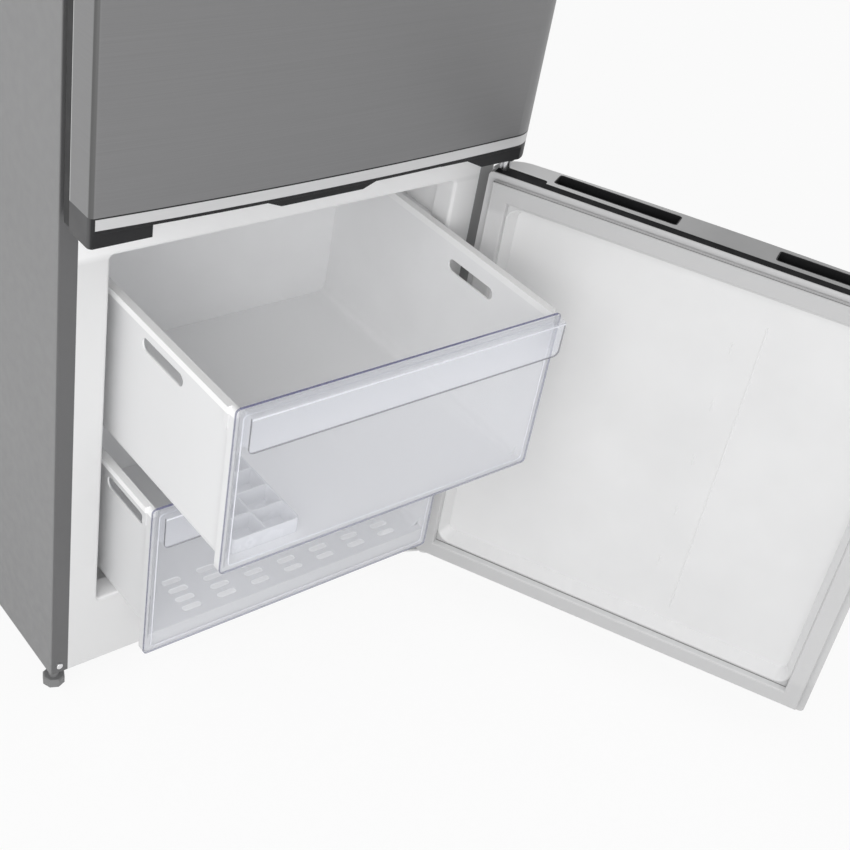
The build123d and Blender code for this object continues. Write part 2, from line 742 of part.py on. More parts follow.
def hinge_bore(z0, z1):
    """The hole in a door that turns on a pin."""
    return post(AXIS_X, -HINGE_AHEAD, z0, z1, PIN_RADIUS + RUNNING)


def tray(low, high, depth):
    """The white inner tray of a door."""
    return recess(low, high, DOOR_INNER, depth + LINER, LINER) - recess(low, high, DOOR_INNER, depth, 0)


def door_foam(low, high, bottom, top, depth):
    """The foam inside a door."""
    foam = door_slice(SHEET, FRAME_FRONT, bottom, top)
    return foam - recess(low, high, DOOR_INNER, depth + LINER, LINER)


def grip_pocket(side, clearance, depth):
    """The room for one finger grip in the freezer door's top."""
    back = DOOR_INNER - GRIP_BEHIND
    middle = Pos(side * GRIP_CENTRE, y_at(back - GRIP_WIDTH / 2), FREEZER_DOOR_HIGH - depth)
    shape = RectangleRounded(
        GRIP_LENGTH - 2 * clearance, GRIP_WIDTH - 2 * clearance, GRIP_CORNER - clearance
    )
    return extrude(middle * shape, depth)


def hinge_trim():
    """The black strip along the inner edge of the freezer door's top, wider at the hinge."""
    low = FREEZER_DOOR_HIGH - HINGE_TRIM_HEIGHT
    end = HALF - DOOR_CORNER
    back = DOOR_INNER - HINGE_TRIM_INSET
    front = DOOR_INNER - HINGE_TRIM_NARROW
    strip = wide(end, front, back, low, FREEZER_DOOR_HIGH)
    pad = block(
        HALF - HINGE_TRIM_LENGTH, end, DOOR_INNER - HINGE_TRIM_WIDE, front, low, FREEZER_DOOR_HIGH
    )
    free_corner = pad.edges().filter_by(Axis.Z).group_by(Axis.X)[0].sort_by(Axis.Y)[0]
    return strip + fillet(free_corner, GRIP_CORNER)


def freezer_door():
    """The freezer door's pieces, closed."""
    low = FREEZER_DOOR_LOW
    high = FREEZER_DOOR_HIGH
    cap_top = high - FREEZER_TOP_CAP
    cap_low = low + FREEZER_LOW_CAP
    trim = hinge_trim()
    top_cap = door_slice(0, FRAME_FRONT, cap_top, high)
    for side in (-1, 1):
        top_cap -= grip_pocket(side, 0, GRIP_DEPTH)
    top_cap -= trim
    top_cap -= hinge_bore(high - PIN_REACH - CUT, high)
    grips = []
    for side in (-1, 1):
        grip = grip_pocket(side, SEAT / 2, GRIP_DEPTH)
        room = grip_pocket(side, SEAT / 2 + GRIP_WALL, GRIP_DEPTH - GRIP_WALL)
        grips.append(grip - room)
    low_cap = door_slice(0, FRAME_FRONT, low, cap_low) - hinge_bore(low, low + PIN_REACH + CUT)
    return {
        "freezer_door_panel": door_skin(cap_low, cap_top),
        "freezer_door_frame": door_frame(low, high, RECESS_DEPTH) - trim,
        "freezer_door_liner": tray(low, high, RECESS_DEPTH),
        "freezer_door_insulation": door_foam(low, high, cap_low, cap_top, RECESS_DEPTH),
        "freezer_door_gasket": gasket(
            low, high, FREEZER_SEAL_SIDE, FREEZER_SEAL_END, FREEZER_SEAL_WIDTH
        ),
        "freezer_door_top_cap": top_cap,
        "freezer_door_bottom_cap": low_cap,
        "freezer_door_grips": group(grips),
        "freezer_door_hinge_trim": trim - hinge_bore(high - HINGE_TRIM_HEIGHT, high),
    }


def trim_band(z0, z1):
    """The silver strip that follows the bowed front of the lower cap."""
    band = door_slice(0, FRAME_FRONT, z0, z1) - door_slice(TRIM_THICKNESS, FRAME_FRONT + CUT, z0, z1)
    reach = DOOR_FACE - DOOR_CROWN - CUT
    return band & block(-HALF + TRIM_INSET, HALF, reach, DOOR_FACE + TRIM_WRAP, z0, z1)


def cap_cut(d0, d1, *corners):
    """A prism along the depth whose corners are given as x and z."""
    return extrude(facing(d1) * make_face(Polyline(*corners, corners[0])), d1 - d0)


def hump_cut():
    """The hollow under the lower cap, with a hump left in its middle and a ramp at the hinge."""
    low = FRIDGE_DOOR_LOW
    high = low + CAP_RECESS
    hump_front = DOOR_FACE + CAP_HUMP_SETBACK
    back = DOOR_FACE + FINGER_DEPTH
    left = -HALF + CAP_BLOCK
    right = HALF - CAP_HINGE_BLOCK
    ramp = right - CAP_RAMP
    hump_left = CAP_HUMP_X - CAP_HUMP
    hump_right = CAP_HUMP_X + CAP_HUMP
    cut = cap_cut(DOOR_FACE - CUT, hump_front, (left, low), (right, low), (ramp, high), (left, high))
    cut += cap_cut(
        hump_front, back, (left, low), (hump_left, low), (hump_left - CAP_HUMP_SLOPE, high), (left, high)
    )
    cut += cap_cut(
        hump_front, back, (hump_right, low), (right, low), (ramp, high), (hump_right + CAP_HUMP_SLOPE, high)
    )
    return cut


def door_bin(z0, height):
    """An open bin between the dikes of the fridge door."""
    half = HALF - DIKE_INSET - DIKE_WIDTH
    front = DOOR_INNER - DOOR_RECESS
    back = front + BIN_REACH
    room = rounded(
        -half + BIN_WALL, half - BIN_WALL, front + BIN_WALL, back - BIN_WALL,
        z0 + BIN_WALL, z0 + 2 * height, DOOR_CORNER,
    )
    return wide(half, front, back, z0, z0 + height) - room


def fridge_door_liner(low, high):
    """The fridge door's inner tray with its two upright dikes."""
    floor = DOOR_INNER - DOOR_RECESS
    outer_edge = HALF - DIKE_INSET
    dike_low = FRIDGE_OPENING_LOW + FRIDGE_ROLL
    dike_high = FRIDGE_OPENING_TOP - FRIDGE_ROLL
    dike = block(outer_edge - DIKE_WIDTH, outer_edge, floor, floor + DIKE_REACH, dike_low, dike_high)
    return tray(low, high, DOOR_RECESS) + both(dike)


def fridge_door():
    """The fridge door's pieces."""
    low = FRIDGE_DOOR_LOW
    high = FRIDGE_DOOR_HIGH
    cap_top = high - FRIDGE_TOP_CAP
    cap_low = low + FRIDGE_LOW_CAP
    trim_high = cap_low - TRIM_DROP
    trim_low = trim_high - TRIM_HEIGHT
    trim = trim_band(trim_low, trim_high)
    low_cap = door_slice(0, FRAME_FRONT, low, cap_low) - trim
    low_cap -= wide(HALF, DOOR_FACE - DOOR_CROWN - CUT, DOOR_FACE, low, low + CAP_RECESS)
    low_cap -= hump_cut()
    low_cap -= hinge_bore(low, low + PIN_REACH + CUT)
    top_cap = door_slice(0, FRAME_FRONT, cap_top, high) - hinge_bore(high - PIN_REACH - CUT, high)
    bins = [door_bin(BIN_START + BIN_PITCH * level, BIN_HEIGHT) for level in range(1, BIN_COUNT)]
    bins.append(door_bin(BIN_START, BOTTLE_BIN_HEIGHT))
    return {
        "fridge_door_panel": door_skin(cap_low, cap_top),
        "fridge_door_frame": door_frame(low, high, DOOR_RECESS),
        "fridge_door_liner": fridge_door_liner(low, high),
        "fridge_door_insulation": door_foam(low, high, cap_low, cap_top, DOOR_RECESS),
        "fridge_door_gasket": gasket(low, high, FRIDGE_SEAL_SIDE, FRIDGE_SEAL_END, FRIDGE_SEAL_WIDTH),
        "fridge_door_top_cap": top_cap,
        "fridge_door_bottom_cap": low_cap,
        "fridge_door_trim": trim,
        "door_bins": group(bins),
    }


for door_node, door_piece in freezer_door().items():
    parts[door_node] = swing(door_piece)
parts.update(fridge_door())


# Freezer drawers

def tub(front_low, front_high, length, slot):
    """The white tub of a drawer: open on top and in front, with a frame for the clear front."""
    low = front_low + max(TUB_RISE, FREEZER_LOW - front_low + TUB_RISE)
    high = front_high - TUB_TOP_DROP
    start = -LINER / 2
    body = rounded(-DRAWER_HALF, DRAWER_HALF, start, length, low, high + 2 * TUB_CORNER, TUB_CORNER)
    inner = DRAWER_HALF - TUB_WALL
    body -= rounded(
        -inner, inner, start, length - TUB_WALL,
        low + TUB_WALL, high + 2 * TUB_CORNER, TUB_CORNER - TUB_WALL,
    )
    body -= wide(HALF, start, length, high, high + 2 * TUB_CORNER)
    rim = block(DRAWER_HALF, DRAWER_HALF + RIM_OUT, start, length, high - RIM_HEIGHT, high)
    body += both(rim)
    body += wide(DRAWER_HALF, length, length + RIM_OUT, high - RIM_HEIGHT, high)
    stop = block(
        DRAWER_HALF, DRAWER_HALF + STOP_WIDTH, start, start + STOP_LENGTH,
        high - STOP_HEIGHT, high - RIM_HEIGHT,
    )
    body += both(stop)
    frame = rounded(-FRONT_HALF, FRONT_HALF, start - TUB_FLANGE, start, front_low, high, FRONT_CORNER)
    frame -= wide(inner, start - TUB_FLANGE, start, low + TUB_WALL, high)
    body += frame
    side = Plane(origin=(0, 0, 0), x_dir=(0, 1, 0), z_dir=(1, 0, 0))
    middle = Pos(y_at(slot + SLOT_LENGTH / 2), high - SLOT_DROP - SLOT_HEIGHT / 2)
    hole = extrude(side * middle * SlotOverall(SLOT_LENGTH, SLOT_HEIGHT), DRAWER_HALF + CUT, both=True)
    return body - hole


def clear_front(low, high):
    """The clear front of a drawer with its full-width pull."""
    back = -LINER / 2 - TUB_FLANGE
    face = back - FRONT_SHEET
    front = rounded(-FRONT_HALF, FRONT_HALF, face, back, low, high, FRONT_CORNER)
    half = FRONT_HALF - LIP_INSET
    shade = block(-half, half, face - LIP_REACH, face, high - LIP_HEIGHT, high)
    shade = fillet(shade.edges().filter_by(Axis.Y).group_by(Axis.Z)[0], LIP_CORNER)
    shade = fillet(shade.edges().filter_by(Axis.X).group_by(Axis.Y)[0].sort_by(Axis.Z)[-1], LIP_SHEET)
    finger = rounded(
        -half + LIP_SHEET, half - LIP_SHEET, face - LIP_REACH + LIP_SHEET, face,
        high - 2 * LIP_HEIGHT, high - LIP_SHEET, LIP_SHEET,
    )
    return front + (shade - finger)


def floor_vents(low):
    """Rows of slots through a drawer's floor."""
    vents = []
    for column in range(VENT_COLUMNS):
        x = VENT_CENTRE + (column - (VENT_COLUMNS - 1) / 2) * VENT_PITCH_X
        for row in range(VENT_ROWS):
            y = y_at(VENT_START + row * VENT_PITCH_Y)
            vents.append(Pos(x, y, low - CUT) * SlotOverall(VENT_LENGTH, VENT_WIDTH))
    return extrude(Sketch() + vents, TUB_WALL + 2 * CUT)


def ice_tray():
    """A tray of tapered ice cells that lies on the upper drawer's floor."""
    low = UPPER_LOW + TUB_RISE + TUB_WALL + SEAT
    x0 = -DRAWER_HALF + TUB_WALL + TUB_CORNER
    cell_x = (TRAY_WIDTH - (TRAY_COLUMNS + 1) * TRAY_WALL) / TRAY_COLUMNS
    cell_y = (TRAY_LENGTH - (TRAY_ROWS + 1) * TRAY_WALL) / TRAY_ROWS
    body = block(x0, x0 + TRAY_WIDTH, TRAY_BACK, TRAY_BACK + TRAY_LENGTH, low, low + TRAY_HEIGHT)
    body = fillet(body.edges().filter_by(Axis.Z), GRIP_CORNER)
    for column in range(TRAY_COLUMNS):
        for row in range(TRAY_ROWS):
            x = x0 + TRAY_WALL + cell_x / 2 + column * (cell_x + TRAY_WALL)
            y = y_at(TRAY_BACK + TRAY_WALL + cell_y / 2 + row * (cell_y + TRAY_WALL))
            rim = Pos(x, y, low + TRAY_HEIGHT) * RectangleRounded(cell_x, cell_y, TRAY_WALL)
            body -= extrude(rim, -(TRAY_HEIGHT - TRAY_WALL), taper=RECESS_TAPER / 2)
    return body


upper_tub = tub(UPPER_LOW, UPPER_HIGH, UPPER_TUB, UPPER_SLOT)
lower_tub = tub(LOWER_LOW, LOWER_HIGH, LOWER_TUB, LOWER_SLOT)
lower_tub -= floor_vents(FREEZER_LOW + TUB_RISE)
parts["upper_drawer_tub"] = pull(upper_tub, UPPER_OUT)
parts["upper_drawer_front"] = pull(clear_front(UPPER_LOW, UPPER_HIGH), UPPER_OUT)
parts["ice_tray"] = pull(ice_tray(), UPPER_OUT)
parts["lower_drawer_tub"] = pull(lower_tub, LOWER_OUT)
parts["lower_drawer_front"] = pull(clear_front(LOWER_LOW, LOWER_HIGH), LOWER_OUT)


def drawer_rails(front_high, length):
    """The two bars that a drawer's rims slide on."""
    high = front_high - TUB_TOP_DROP - RIM_HEIGHT - SEAT
    inner = DRAWER_HALF + RAIL_GAP
    rail = block(inner, FREEZER_WALL, FREEZER_MOUTH + LINER, length, high - RAIL_HEIGHT, high)
    return both(rail)


parts["drawer_rails"] = group(drawer_rails(UPPER_HIGH, UPPER_TUB) + drawer_rails(LOWER_HIGH, LOWER_TUB))


# Refrigerator fittings

GLASS_HALF = FRIDGE_WALL - SEAT
shelves = []
trims = []
for shelf_level in range(SHELF_COUNT):
    shelf_low = shelf_height(shelf_level)
    shelves.append(wide(GLASS_HALF, SHELF_FRONT, SHELF_BACK, shelf_low, shelf_low + SHELF_GLASS))
    trims.append(
        wide(
            GLASS_HALF, SHELF_FRONT - SHELF_TRIM, SHELF_FRONT,
            shelf_low + SHELF_GLASS - SHELF_TRIM_HEIGHT, shelf_low + SHELF_GLASS,
        )
    )
shelves.append(wide(GLASS_HALF, SHELF_FRONT, SHELF_BACK, CRISPER_TOP, CRISPER_TOP + SHELF_GLASS))
parts["glass_shelves"] = group(shelves)
parts["shelf_trims"] = group(trims)


def crisper(side):
    """One vegetable drawer, standing on the liner's floor."""
    x0 = CRISPER_GAP / 2
    x1 = FRIDGE_WALL - LEDGE_WIDTH - CRISPER_GAP
    low = FRIDGE_FLOOR + SEAT
    high = CRISPER_TOP - LEDGE_HEIGHT - CRISPER_GAP
    body = rounded(x0, x1, SHELF_FRONT, CRISPER_BACK, low, high + 2 * CAVITY_CORNER, CAVITY_CORNER)
    body -= rounded(
        x0 + CRISPER_WALL, x1 - CRISPER_WALL, SHELF_FRONT + CRISPER_WALL, CRISPER_BACK - CRISPER_WALL,
        low + CRISPER_WALL, high + 2 * CAVITY_CORNER, CAVITY_CORNER - CRISPER_WALL,
    )
    body -= block(x0, x1, SHELF_FRONT, CRISPER_BACK, high, high + 2 * CAVITY_CORNER)
    body += block(x0, x1, SHELF_FRONT - CRISPER_LIP, SHELF_FRONT, high - CRISPER_LIP, high)
    return body if side > 0 else mirror(body, Plane.YZ)


parts["crispers"] = group([crisper(-1), crisper(1)])


def control_housing():
    """The ceiling housing of lamp and thermostat."""
    low = FRIDGE_CEILING - CONTROL_HEIGHT
    house = wide(CONTROL_HALF, CONTROL_FRONT, CONTROL_BACK, low, FRIDGE_CEILING)
    house = fillet(house.edges().filter_by(Axis.X).group_by(Axis.Z)[0], 2 * CONTROL_WALL)
    house -= wide(
        CONTROL_HALF - CONTROL_WALL, CONTROL_FRONT + CONTROL_WALL, CONTROL_BACK - CONTROL_WALL,
        low + CONTROL_WALL, FRIDGE_CEILING,
    )
    house -= wide(LENS_HALF, LENS_FRONT, LENS_BACK, low, low + CONTROL_WALL)
    knob_z = FRIDGE_CEILING - CONTROL_HEIGHT / 2
    house -= rod(KNOB_X, CONTROL_FRONT, CONTROL_FRONT + CONTROL_WALL, knob_z, KNOB_SHAFT + RUNNING)
    return house


def thermostat_knob():
    """The thermostat's knob with its shaft and grip bar."""
    knob_z = FRIDGE_CEILING - CONTROL_HEIGHT / 2
    face = CONTROL_FRONT - SEAT
    knob = rod(KNOB_X, face - KNOB_DEPTH / 2, face, knob_z, KNOB_RADIUS)
    bar = block(
        KNOB_X - KNOB_GRIP / 2, KNOB_X + KNOB_GRIP / 2, face - KNOB_DEPTH, face - KNOB_DEPTH / 2,
        knob_z - KNOB_RADIUS + KNOB_EDGE, knob_z + KNOB_RADIUS - KNOB_EDGE,
    )
    shaft = rod(KNOB_X, face, CONTROL_FRONT + KNOB_SHAFT_REACH, knob_z, KNOB_SHAFT)
    return knob + bar + shaft


parts["control_housing"] = control_housing()
parts["lamp_lens"] = wide(
    LENS_HALF, LENS_FRONT, LENS_BACK, FRIDGE_CEILING - CONTROL_HEIGHT,
    FRIDGE_CEILING - CONTROL_HEIGHT + CONTROL_WALL,
)
parts["thermostat_knob"] = thermostat_knob()


# Cooling machine

FAN_Z = FREEZER_CEILING - FAN_DROP
MOTOR_FRONT = COVER_DEPTH + COVER_PLATE + FAN_WIDTH
FAN_FRONT = MOTOR_FRONT - FAN_GAP - FAN_WIDTH


def evaporator_cover():
    """The plate in front of the evaporator, with the fan's hole and return slots."""
    back = COVER_DEPTH + COVER_PLATE
    plate = rounded(
        -FREEZER_WALL, FREEZER_WALL, COVER_DEPTH, back, STEP_TOP, FREEZER_CEILING, CAVITY_CORNER
    )
    plate -= rod(0, COVER_DEPTH, back, FAN_Z, FAN_HOLE)
    slots = []
    for column in range(VENT_COLUMNS):
        x = (column - (VENT_COLUMNS - 1) / 2) * VENT_PITCH_X
        slots.append(Pos(x, STEP_TOP + RETURN_RISE) * SlotOverall(VENT_LENGTH, VENT_WIDTH))
    return plate - extrude(facing(back) * (Sketch() + slots), COVER_PLATE)


def fan_motor():
    """The fan's motor on a strut across the hole."""
    motor = rod(0, MOTOR_FRONT, MOTOR_FRONT + MOTOR_LENGTH, FAN_Z, MOTOR_RADIUS)
    motor += rod(0, FAN_FRONT, MOTOR_FRONT, FAN_Z, SHAFT_RADIUS)
    reach = FAN_HOLE + STRUT_WIDTH
    motor += wide(
        reach, MOTOR_FRONT + MOTOR_LENGTH / 2, MOTOR_FRONT + MOTOR_LENGTH,
        FAN_Z - STRUT_WIDTH / 2, FAN_Z + STRUT_WIDTH / 2,
    )
    foot = block(
        FAN_HOLE, reach, COVER_DEPTH + COVER_PLATE, MOTOR_FRONT + MOTOR_LENGTH,
        FAN_Z - STRUT_WIDTH / 2, FAN_Z + STRUT_WIDTH / 2,
    )
    return motor + both(foot)


def evaporator_fan():
    """A bladed fan on the motor's shaft."""
    hub = rod(0, FAN_FRONT, FAN_FRONT + FAN_WIDTH, FAN_Z, FAN_HUB)
    root = FAN_HUB - FAN_ROOT
    length = FAN_RADIUS - root
    for blade in range(FAN_BLADES):
        turn = Plane(origin=(0, y_at(FAN_FRONT + FAN_WIDTH / 2), FAN_Z), x_dir=(1, 0, 0), z_dir=(0, -1, 0))
        vane = Rot(0, 0, blade * 360 / FAN_BLADES) * Pos(root + length / 2, 0, 0)
        vane *= Rot(FAN_PITCH, 0, 0) * Box(length, FAN_CHORD, FAN_BLADE)
        hub += turn * vane
    bore = rod(0, FAN_FRONT, FAN_FRONT + FAN_WIDTH, FAN_Z, SHAFT_RADIUS + RUNNING)
    return hub - bore


def evaporator():
    """Finned evaporator coil behind the cover."""
    front = COVER_DEPTH + COVER_PLATE + COIL_AHEAD
    middle = front + COIL_THICKNESS / 2
    low = STEP_TOP + SEAT
    coil = None
    for fin in range(COIL_FINS):
        x = -COIL_HALF + fin * 2 * COIL_HALF / (COIL_FINS - 1)
        sheet = block(
            x - COIL_FIN / 2, x + COIL_FIN / 2, front, front + COIL_THICKNESS, low, low + COIL_HEIGHT
        )
        coil = sheet if coil is None else coil + sheet
    for row in range(COIL_ROWS):
        z = low + COIL_HEIGHT * (row + 0.5) / COIL_ROWS
        coil += cross(-COIL_HALF - 3 * COIL_TUBE, COIL_HALF + 3 * COIL_TUBE, middle, z, COIL_TUBE)
    return coil


parts["evaporator_cover"] = evaporator_cover()
parts["fan_motor"] = fan_motor()
parts["evaporator_fan"] = evaporator_fan()
parts["evaporator"] = evaporator()

PLATE_HIGH = CABINET_BASE + 2 * PAN_SHEET
COMPRESSOR_DEPTH = (BAY_FRONT + CABINET_DEPTH) / 2
FOOT_Z = PLATE_HIGH + GROMMET_HEIGHT
CAN_LOW = FOOT_Z + COMPRESSOR_FOOT
CAN_HIGH = CAN_LOW + COMPRESSOR_HEIGHT


def compressor():
    """The domed can of the compressor on its foot plate."""
    can = post(COMPRESSOR_X, COMPRESSOR_DEPTH, CAN_LOW, CAN_HIGH, COMPRESSOR_RADIUS)
    can = fillet(can.edges().group_by(Axis.Z)[-1], COMPRESSOR_DOME)
    foot_x = COMPRESSOR_FOOT_X + GROMMET_RADIUS
    foot_y = COMPRESSOR_FOOT_Y + GROMMET_RADIUS
    foot = block(
        COMPRESSOR_X - foot_x, COMPRESSOR_X + foot_x,
        COMPRESSOR_DEPTH - foot_y, COMPRESSOR_DEPTH + foot_y, FOOT_Z, CAN_LOW,
    )
    foot = fillet(foot.edges().filter_by(Axis.Z), GROMMET_RADIUS)
    relay = block(
        COMPRESSOR_X + COMPRESSOR_RADIUS - RELAY_SINK, COMPRESSOR_X + COMPRESSOR_RADIUS + RELAY_REACH,
        COMPRESSOR_DEPTH - RELAY_HALF, COMPRESSOR_DEPTH + RELAY_HALF,
        CAN_LOW + RELAY_LOW, CAN_LOW + RELAY_LOW + RELAY_HEIGHT,
    )
    relay = fillet(relay.edges().filter_by(Axis.X), RELAY_CORNER)
    return can + foot + relay


def grommets():
    """The rubber mounts under the compressor's four corners."""
    mounts = []
    for x in (-COMPRESSOR_FOOT_X, COMPRESSOR_FOOT_X):
        for d in (-COMPRESSOR_FOOT_Y, COMPRESSOR_FOOT_Y):
            mounts.append(post(COMPRESSOR_X + x, COMPRESSOR_DEPTH + d, PLATE_HIGH, FOOT_Z, GROMMET_RADIUS))
    return group(mounts)


def drip_tray():
    """The tray on the compressor that takes the defrost water."""
    low = CAN_HIGH
    x0 = COMPRESSOR_X - DRIP_HALF
    x1 = COMPRESSOR_X + DRIP_HALF
    d0 = COMPRESSOR_DEPTH - DRIP_HALF
    d1 = COMPRESSOR_DEPTH + DRIP_HALF
    body = block(x0, x1, d0, d1, low, low + DRIP_HEIGHT)
    body = fillet(body.edges().filter_by(Axis.Z), TUB_CORNER)
    room = block(
        x0 + DRIP_WALL, x1 - DRIP_WALL, d0 + DRIP_WALL, d1 - DRIP_WALL, low + DRIP_WALL, low + DRIP_HEIGHT
    )
    return body - fillet(room.edges().filter_by(Axis.Z), TUB_CORNER - DRIP_WALL)


def pipe(points, radius):
    """A bent tube through points given as x, depth and z."""
    route = [(x, y_at(d), z) for x, d, z in points]
    path = FilletPolyline(*route, radius=PIPE_BEND)
    section = Plane(origin=path @ 0, z_dir=path % 0) * Circle(radius)
    return sweep(section, path)


CONDENSER_DEPTH = CABINET_DEPTH + CONDENSER_GAP
CONDENSER_LOW = BAY_TOP + CONDENSER_PITCH


def condenser_tube():
    """The black tube that runs to and fro across the back."""
    points = []
    for run in range(CONDENSER_RUNS):
        z = CONDENSER_LOW + run * CONDENSER_PITCH
        ends = [(-CONDENSER_HALF, z), (CONDENSER_HALF, z)]
        points += ends if run % 2 == 0 else ends[::-1]
    points[0] = (-CONDENSER_HALF + 2 * PIPE_BEND, CONDENSER_LOW)
    route = [(x, y_at(CONDENSER_DEPTH), z) for x, z in points]
    path = FilletPolyline(*route, radius=(CONDENSER_PITCH - CONDENSER_STRAIGHT) / 2)
    section = Plane(origin=path @ 0, z_dir=path % 0) * Circle(CONDENSER_TUBE)
    return sweep(section, path)


def condenser_wires():
    """Upright wires behind the condenser's tube."""
    wires = []
    high = CONDENSER_LOW + (CONDENSER_RUNS - 1) * CONDENSER_PITCH + CONDENSER_TUBE
    reach = CONDENSER_HALF - CONDENSER_WIRE_INSET
    depth = CONDENSER_DEPTH + CONDENSER_TUBE + CONDENSER_WIRE
    for wire in range(CONDENSER_WIRES):
        x = -reach + wire * 2 * reach / (CONDENSER_WIRES - 1)
        wires.append(post(x, depth, CONDENSER_LOW - CONDENSER_TUBE, high, CONDENSER_WIRE))
    return wires


def condenser_clips():
    """Plastic clips between the back panel and the condenser."""
    clips = []
    for run in (0, CONDENSER_RUNS // 2, CONDENSER_RUNS - 1):
        z = CONDENSER_LOW + run * CONDENSER_PITCH
        x = CONDENSER_HALF - CONDENSER_PITCH
        half = 2 * CONDENSER_TUBE
        clip = block(x - half, x + half, CABINET_DEPTH, CONDENSER_DEPTH + half, z - half, z + half)
        clip -= cross(x - half, x + half, CONDENSER_DEPTH, z, CONDENSER_TUBE)
        clips += both(clip)
    return clips


DRIER_DEPTH = COMPRESSOR_DEPTH
DRIER_LOW = PLATE_HIGH + DRIER_RISE


def pipes():
    """Discharge and suction tubes of the machine bay."""
    can_z = CAN_LOW + PIPE_RISE
    can_x = COMPRESSOR_X - COMPRESSOR_RADIUS
    riser_x = can_x - SUCTION_REACH
    suction = pipe(
        [(can_x, COMPRESSOR_DEPTH, can_z), (riser_x, COMPRESSOR_DEPTH, can_z),
         (riser_x, COMPRESSOR_DEPTH, BAY_TOP)],
        PIPE_RADIUS,
    )
    can_back = COMPRESSOR_DEPTH + COMPRESSOR_RADIUS
    tail = CONDENSER_DEPTH
    start_x = -CONDENSER_HALF
    discharge = pipe(
        [(COMPRESSOR_X, can_back, can_z), (COMPRESSOR_X, tail, can_z), (start_x, tail, can_z),
         (start_x, tail, CONDENSER_LOW), (start_x + 2 * PIPE_BEND, tail, CONDENSER_LOW)],
        CONDENSER_TUBE,
    )
    return [suction, discharge]


def filter_drier():
    """The copper drier between condenser and evaporator, held by its tube from the bay's roof."""
    body = post(DRIER_X, DRIER_DEPTH, DRIER_LOW, DRIER_LOW + DRIER_LENGTH, DRIER_RADIUS)
    body = chamfer(body.edges().filter_by(GeomType.CIRCLE), DRIER_END)
    return body + post(DRIER_X, DRIER_DEPTH, DRIER_LOW + DRIER_LENGTH, BAY_TOP, PIPE_RADIUS)


def mains_inlet():
    """The empty socket for the mains lead, on the machine bay's floor."""
    body = rounded(
        INLET_X - INLET_WIDTH / 2, INLET_X + INLET_WIDTH / 2, CABINET_DEPTH - INLET_DEPTH, CABINET_DEPTH,
        PLATE_HIGH, PLATE_HIGH + INLET_HEIGHT, INLET_WALL,
    )
    room = rounded(
        INLET_X - INLET_WIDTH / 2 + INLET_WALL, INLET_X + INLET_WIDTH / 2 - INLET_WALL,
        CABINET_DEPTH - INLET_DEPTH / 2, CABINET_DEPTH,
        PLATE_HIGH + INLET_WALL, PLATE_HIGH + INLET_HEIGHT - INLET_WALL, INLET_WALL,
    )
    body -= room
    blade_z = PLATE_HIGH + (INLET_HEIGHT - BLADE_HEIGHT) / 2
    for side in (-1, 0, 1):
        x = INLET_X + side * BLADE_PITCH
        body += block(
            x - BLADE_HALF, x + BLADE_HALF, CABINET_DEPTH - INLET_DEPTH / 2, CABINET_DEPTH - INLET_WALL,
            blade_z, blade_z + BLADE_HEIGHT,
        )
    return body


parts["compressor"] = compressor()
parts["compressor_mounts"] = grommets()
parts["drip_tray"] = drip_tray()
parts["refrigerant_pipes"] = group(pipes() + [filter_drier()])
parts["condenser"] = group([condenser_tube()] + condenser_wires())
parts["mains_inlet"] = mains_inlet()
SPACER_X = HALF - SPACER_WIDTH
spacer = block(
    SPACER_X - SPACER_WIDTH / 2, SPACER_X + SPACER_WIDTH / 2, CABINET_DEPTH, CABINET_DEPTH + SPACER_DEPTH,
    CABINET_TOP - 2 * SPACER_HEIGHT, CABINET_TOP - SPACER_HEIGHT,
)
spacer = fillet(spacer.edges().filter_by(Axis.Y), SHELL_BEND)
parts["back_spacers"] = group(both(spacer) + condenser_clips())


# Feet and rollers

def foot():
    """A levelling foot: faceted pad, neck and stem."""
    x = HALF - FOOT_INSET
    low = Pos(x, y_at(FOOT_DEPTH), 0)
    pad = extrude(low * RegularPolygon(FOOT_RADIUS, FOOT_SIDES), FOOT_HEIGHT)
    pad = chamfer(pad.edges().group_by(Axis.Z)[-1], FOOT_BEVEL)
    pad += post(x, FOOT_DEPTH, FOOT_HEIGHT, NECK_TOP, NECK_RADIUS)
    return pad + post(x, FOOT_DEPTH, NECK_TOP, STEM_TOP, STEM_RADIUS)


def roller():
    """A rear roller, bored for its axle."""
    half = ROLLER_WIDTH / 2
    wheel = cross(ROLLER_X - half, ROLLER_X + half, ROLLER_DEPTH, ROLLER_RADIUS, ROLLER_RADIUS)
    wheel = chamfer(wheel.edges().filter_by(GeomType.CIRCLE), ROLLER_BEVEL)
    bore = AXLE_RADIUS + RUNNING
    return wheel - cross(ROLLER_X - half, ROLLER_X + half, ROLLER_DEPTH, ROLLER_RADIUS, bore)


def roller_bracket():
    """The bent bracket and axle of a roller, under the compressor plate."""
    inner = ROLLER_WIDTH / 2 + CHEEK_GAP
    outer = inner + CHEEK
    d0 = ROLLER_DEPTH - CHEEK_HALF
    d1 = ROLLER_DEPTH + CHEEK_HALF
    low = ROLLER_RADIUS - 2 * AXLE_RADIUS
    bracket = block(ROLLER_X - outer, ROLLER_X + outer, d0, d1, low, CABINET_BASE)
    bracket -= block(ROLLER_X - inner, ROLLER_X + inner, d0, d1, low, CABINET_BASE - CHEEK)
    return bracket + cross(ROLLER_X - outer, ROLLER_X + outer, ROLLER_DEPTH, ROLLER_RADIUS, AXLE_RADIUS)


right_foot, left_foot = both(foot())
right_roller, left_roller = both(roller())
parts["left_foot"] = left_foot
parts["right_foot"] = right_foot
parts["left_roller"] = left_roller
parts["right_roller"] = right_roller
parts["roller_brackets"] = group(both(roller_bracket()))

os.makedirs("parts", exist_ok=True)
for node, piece in parts.items():
    export_step(piece, f"parts/{node}.step")
print(len(parts), "nodes")
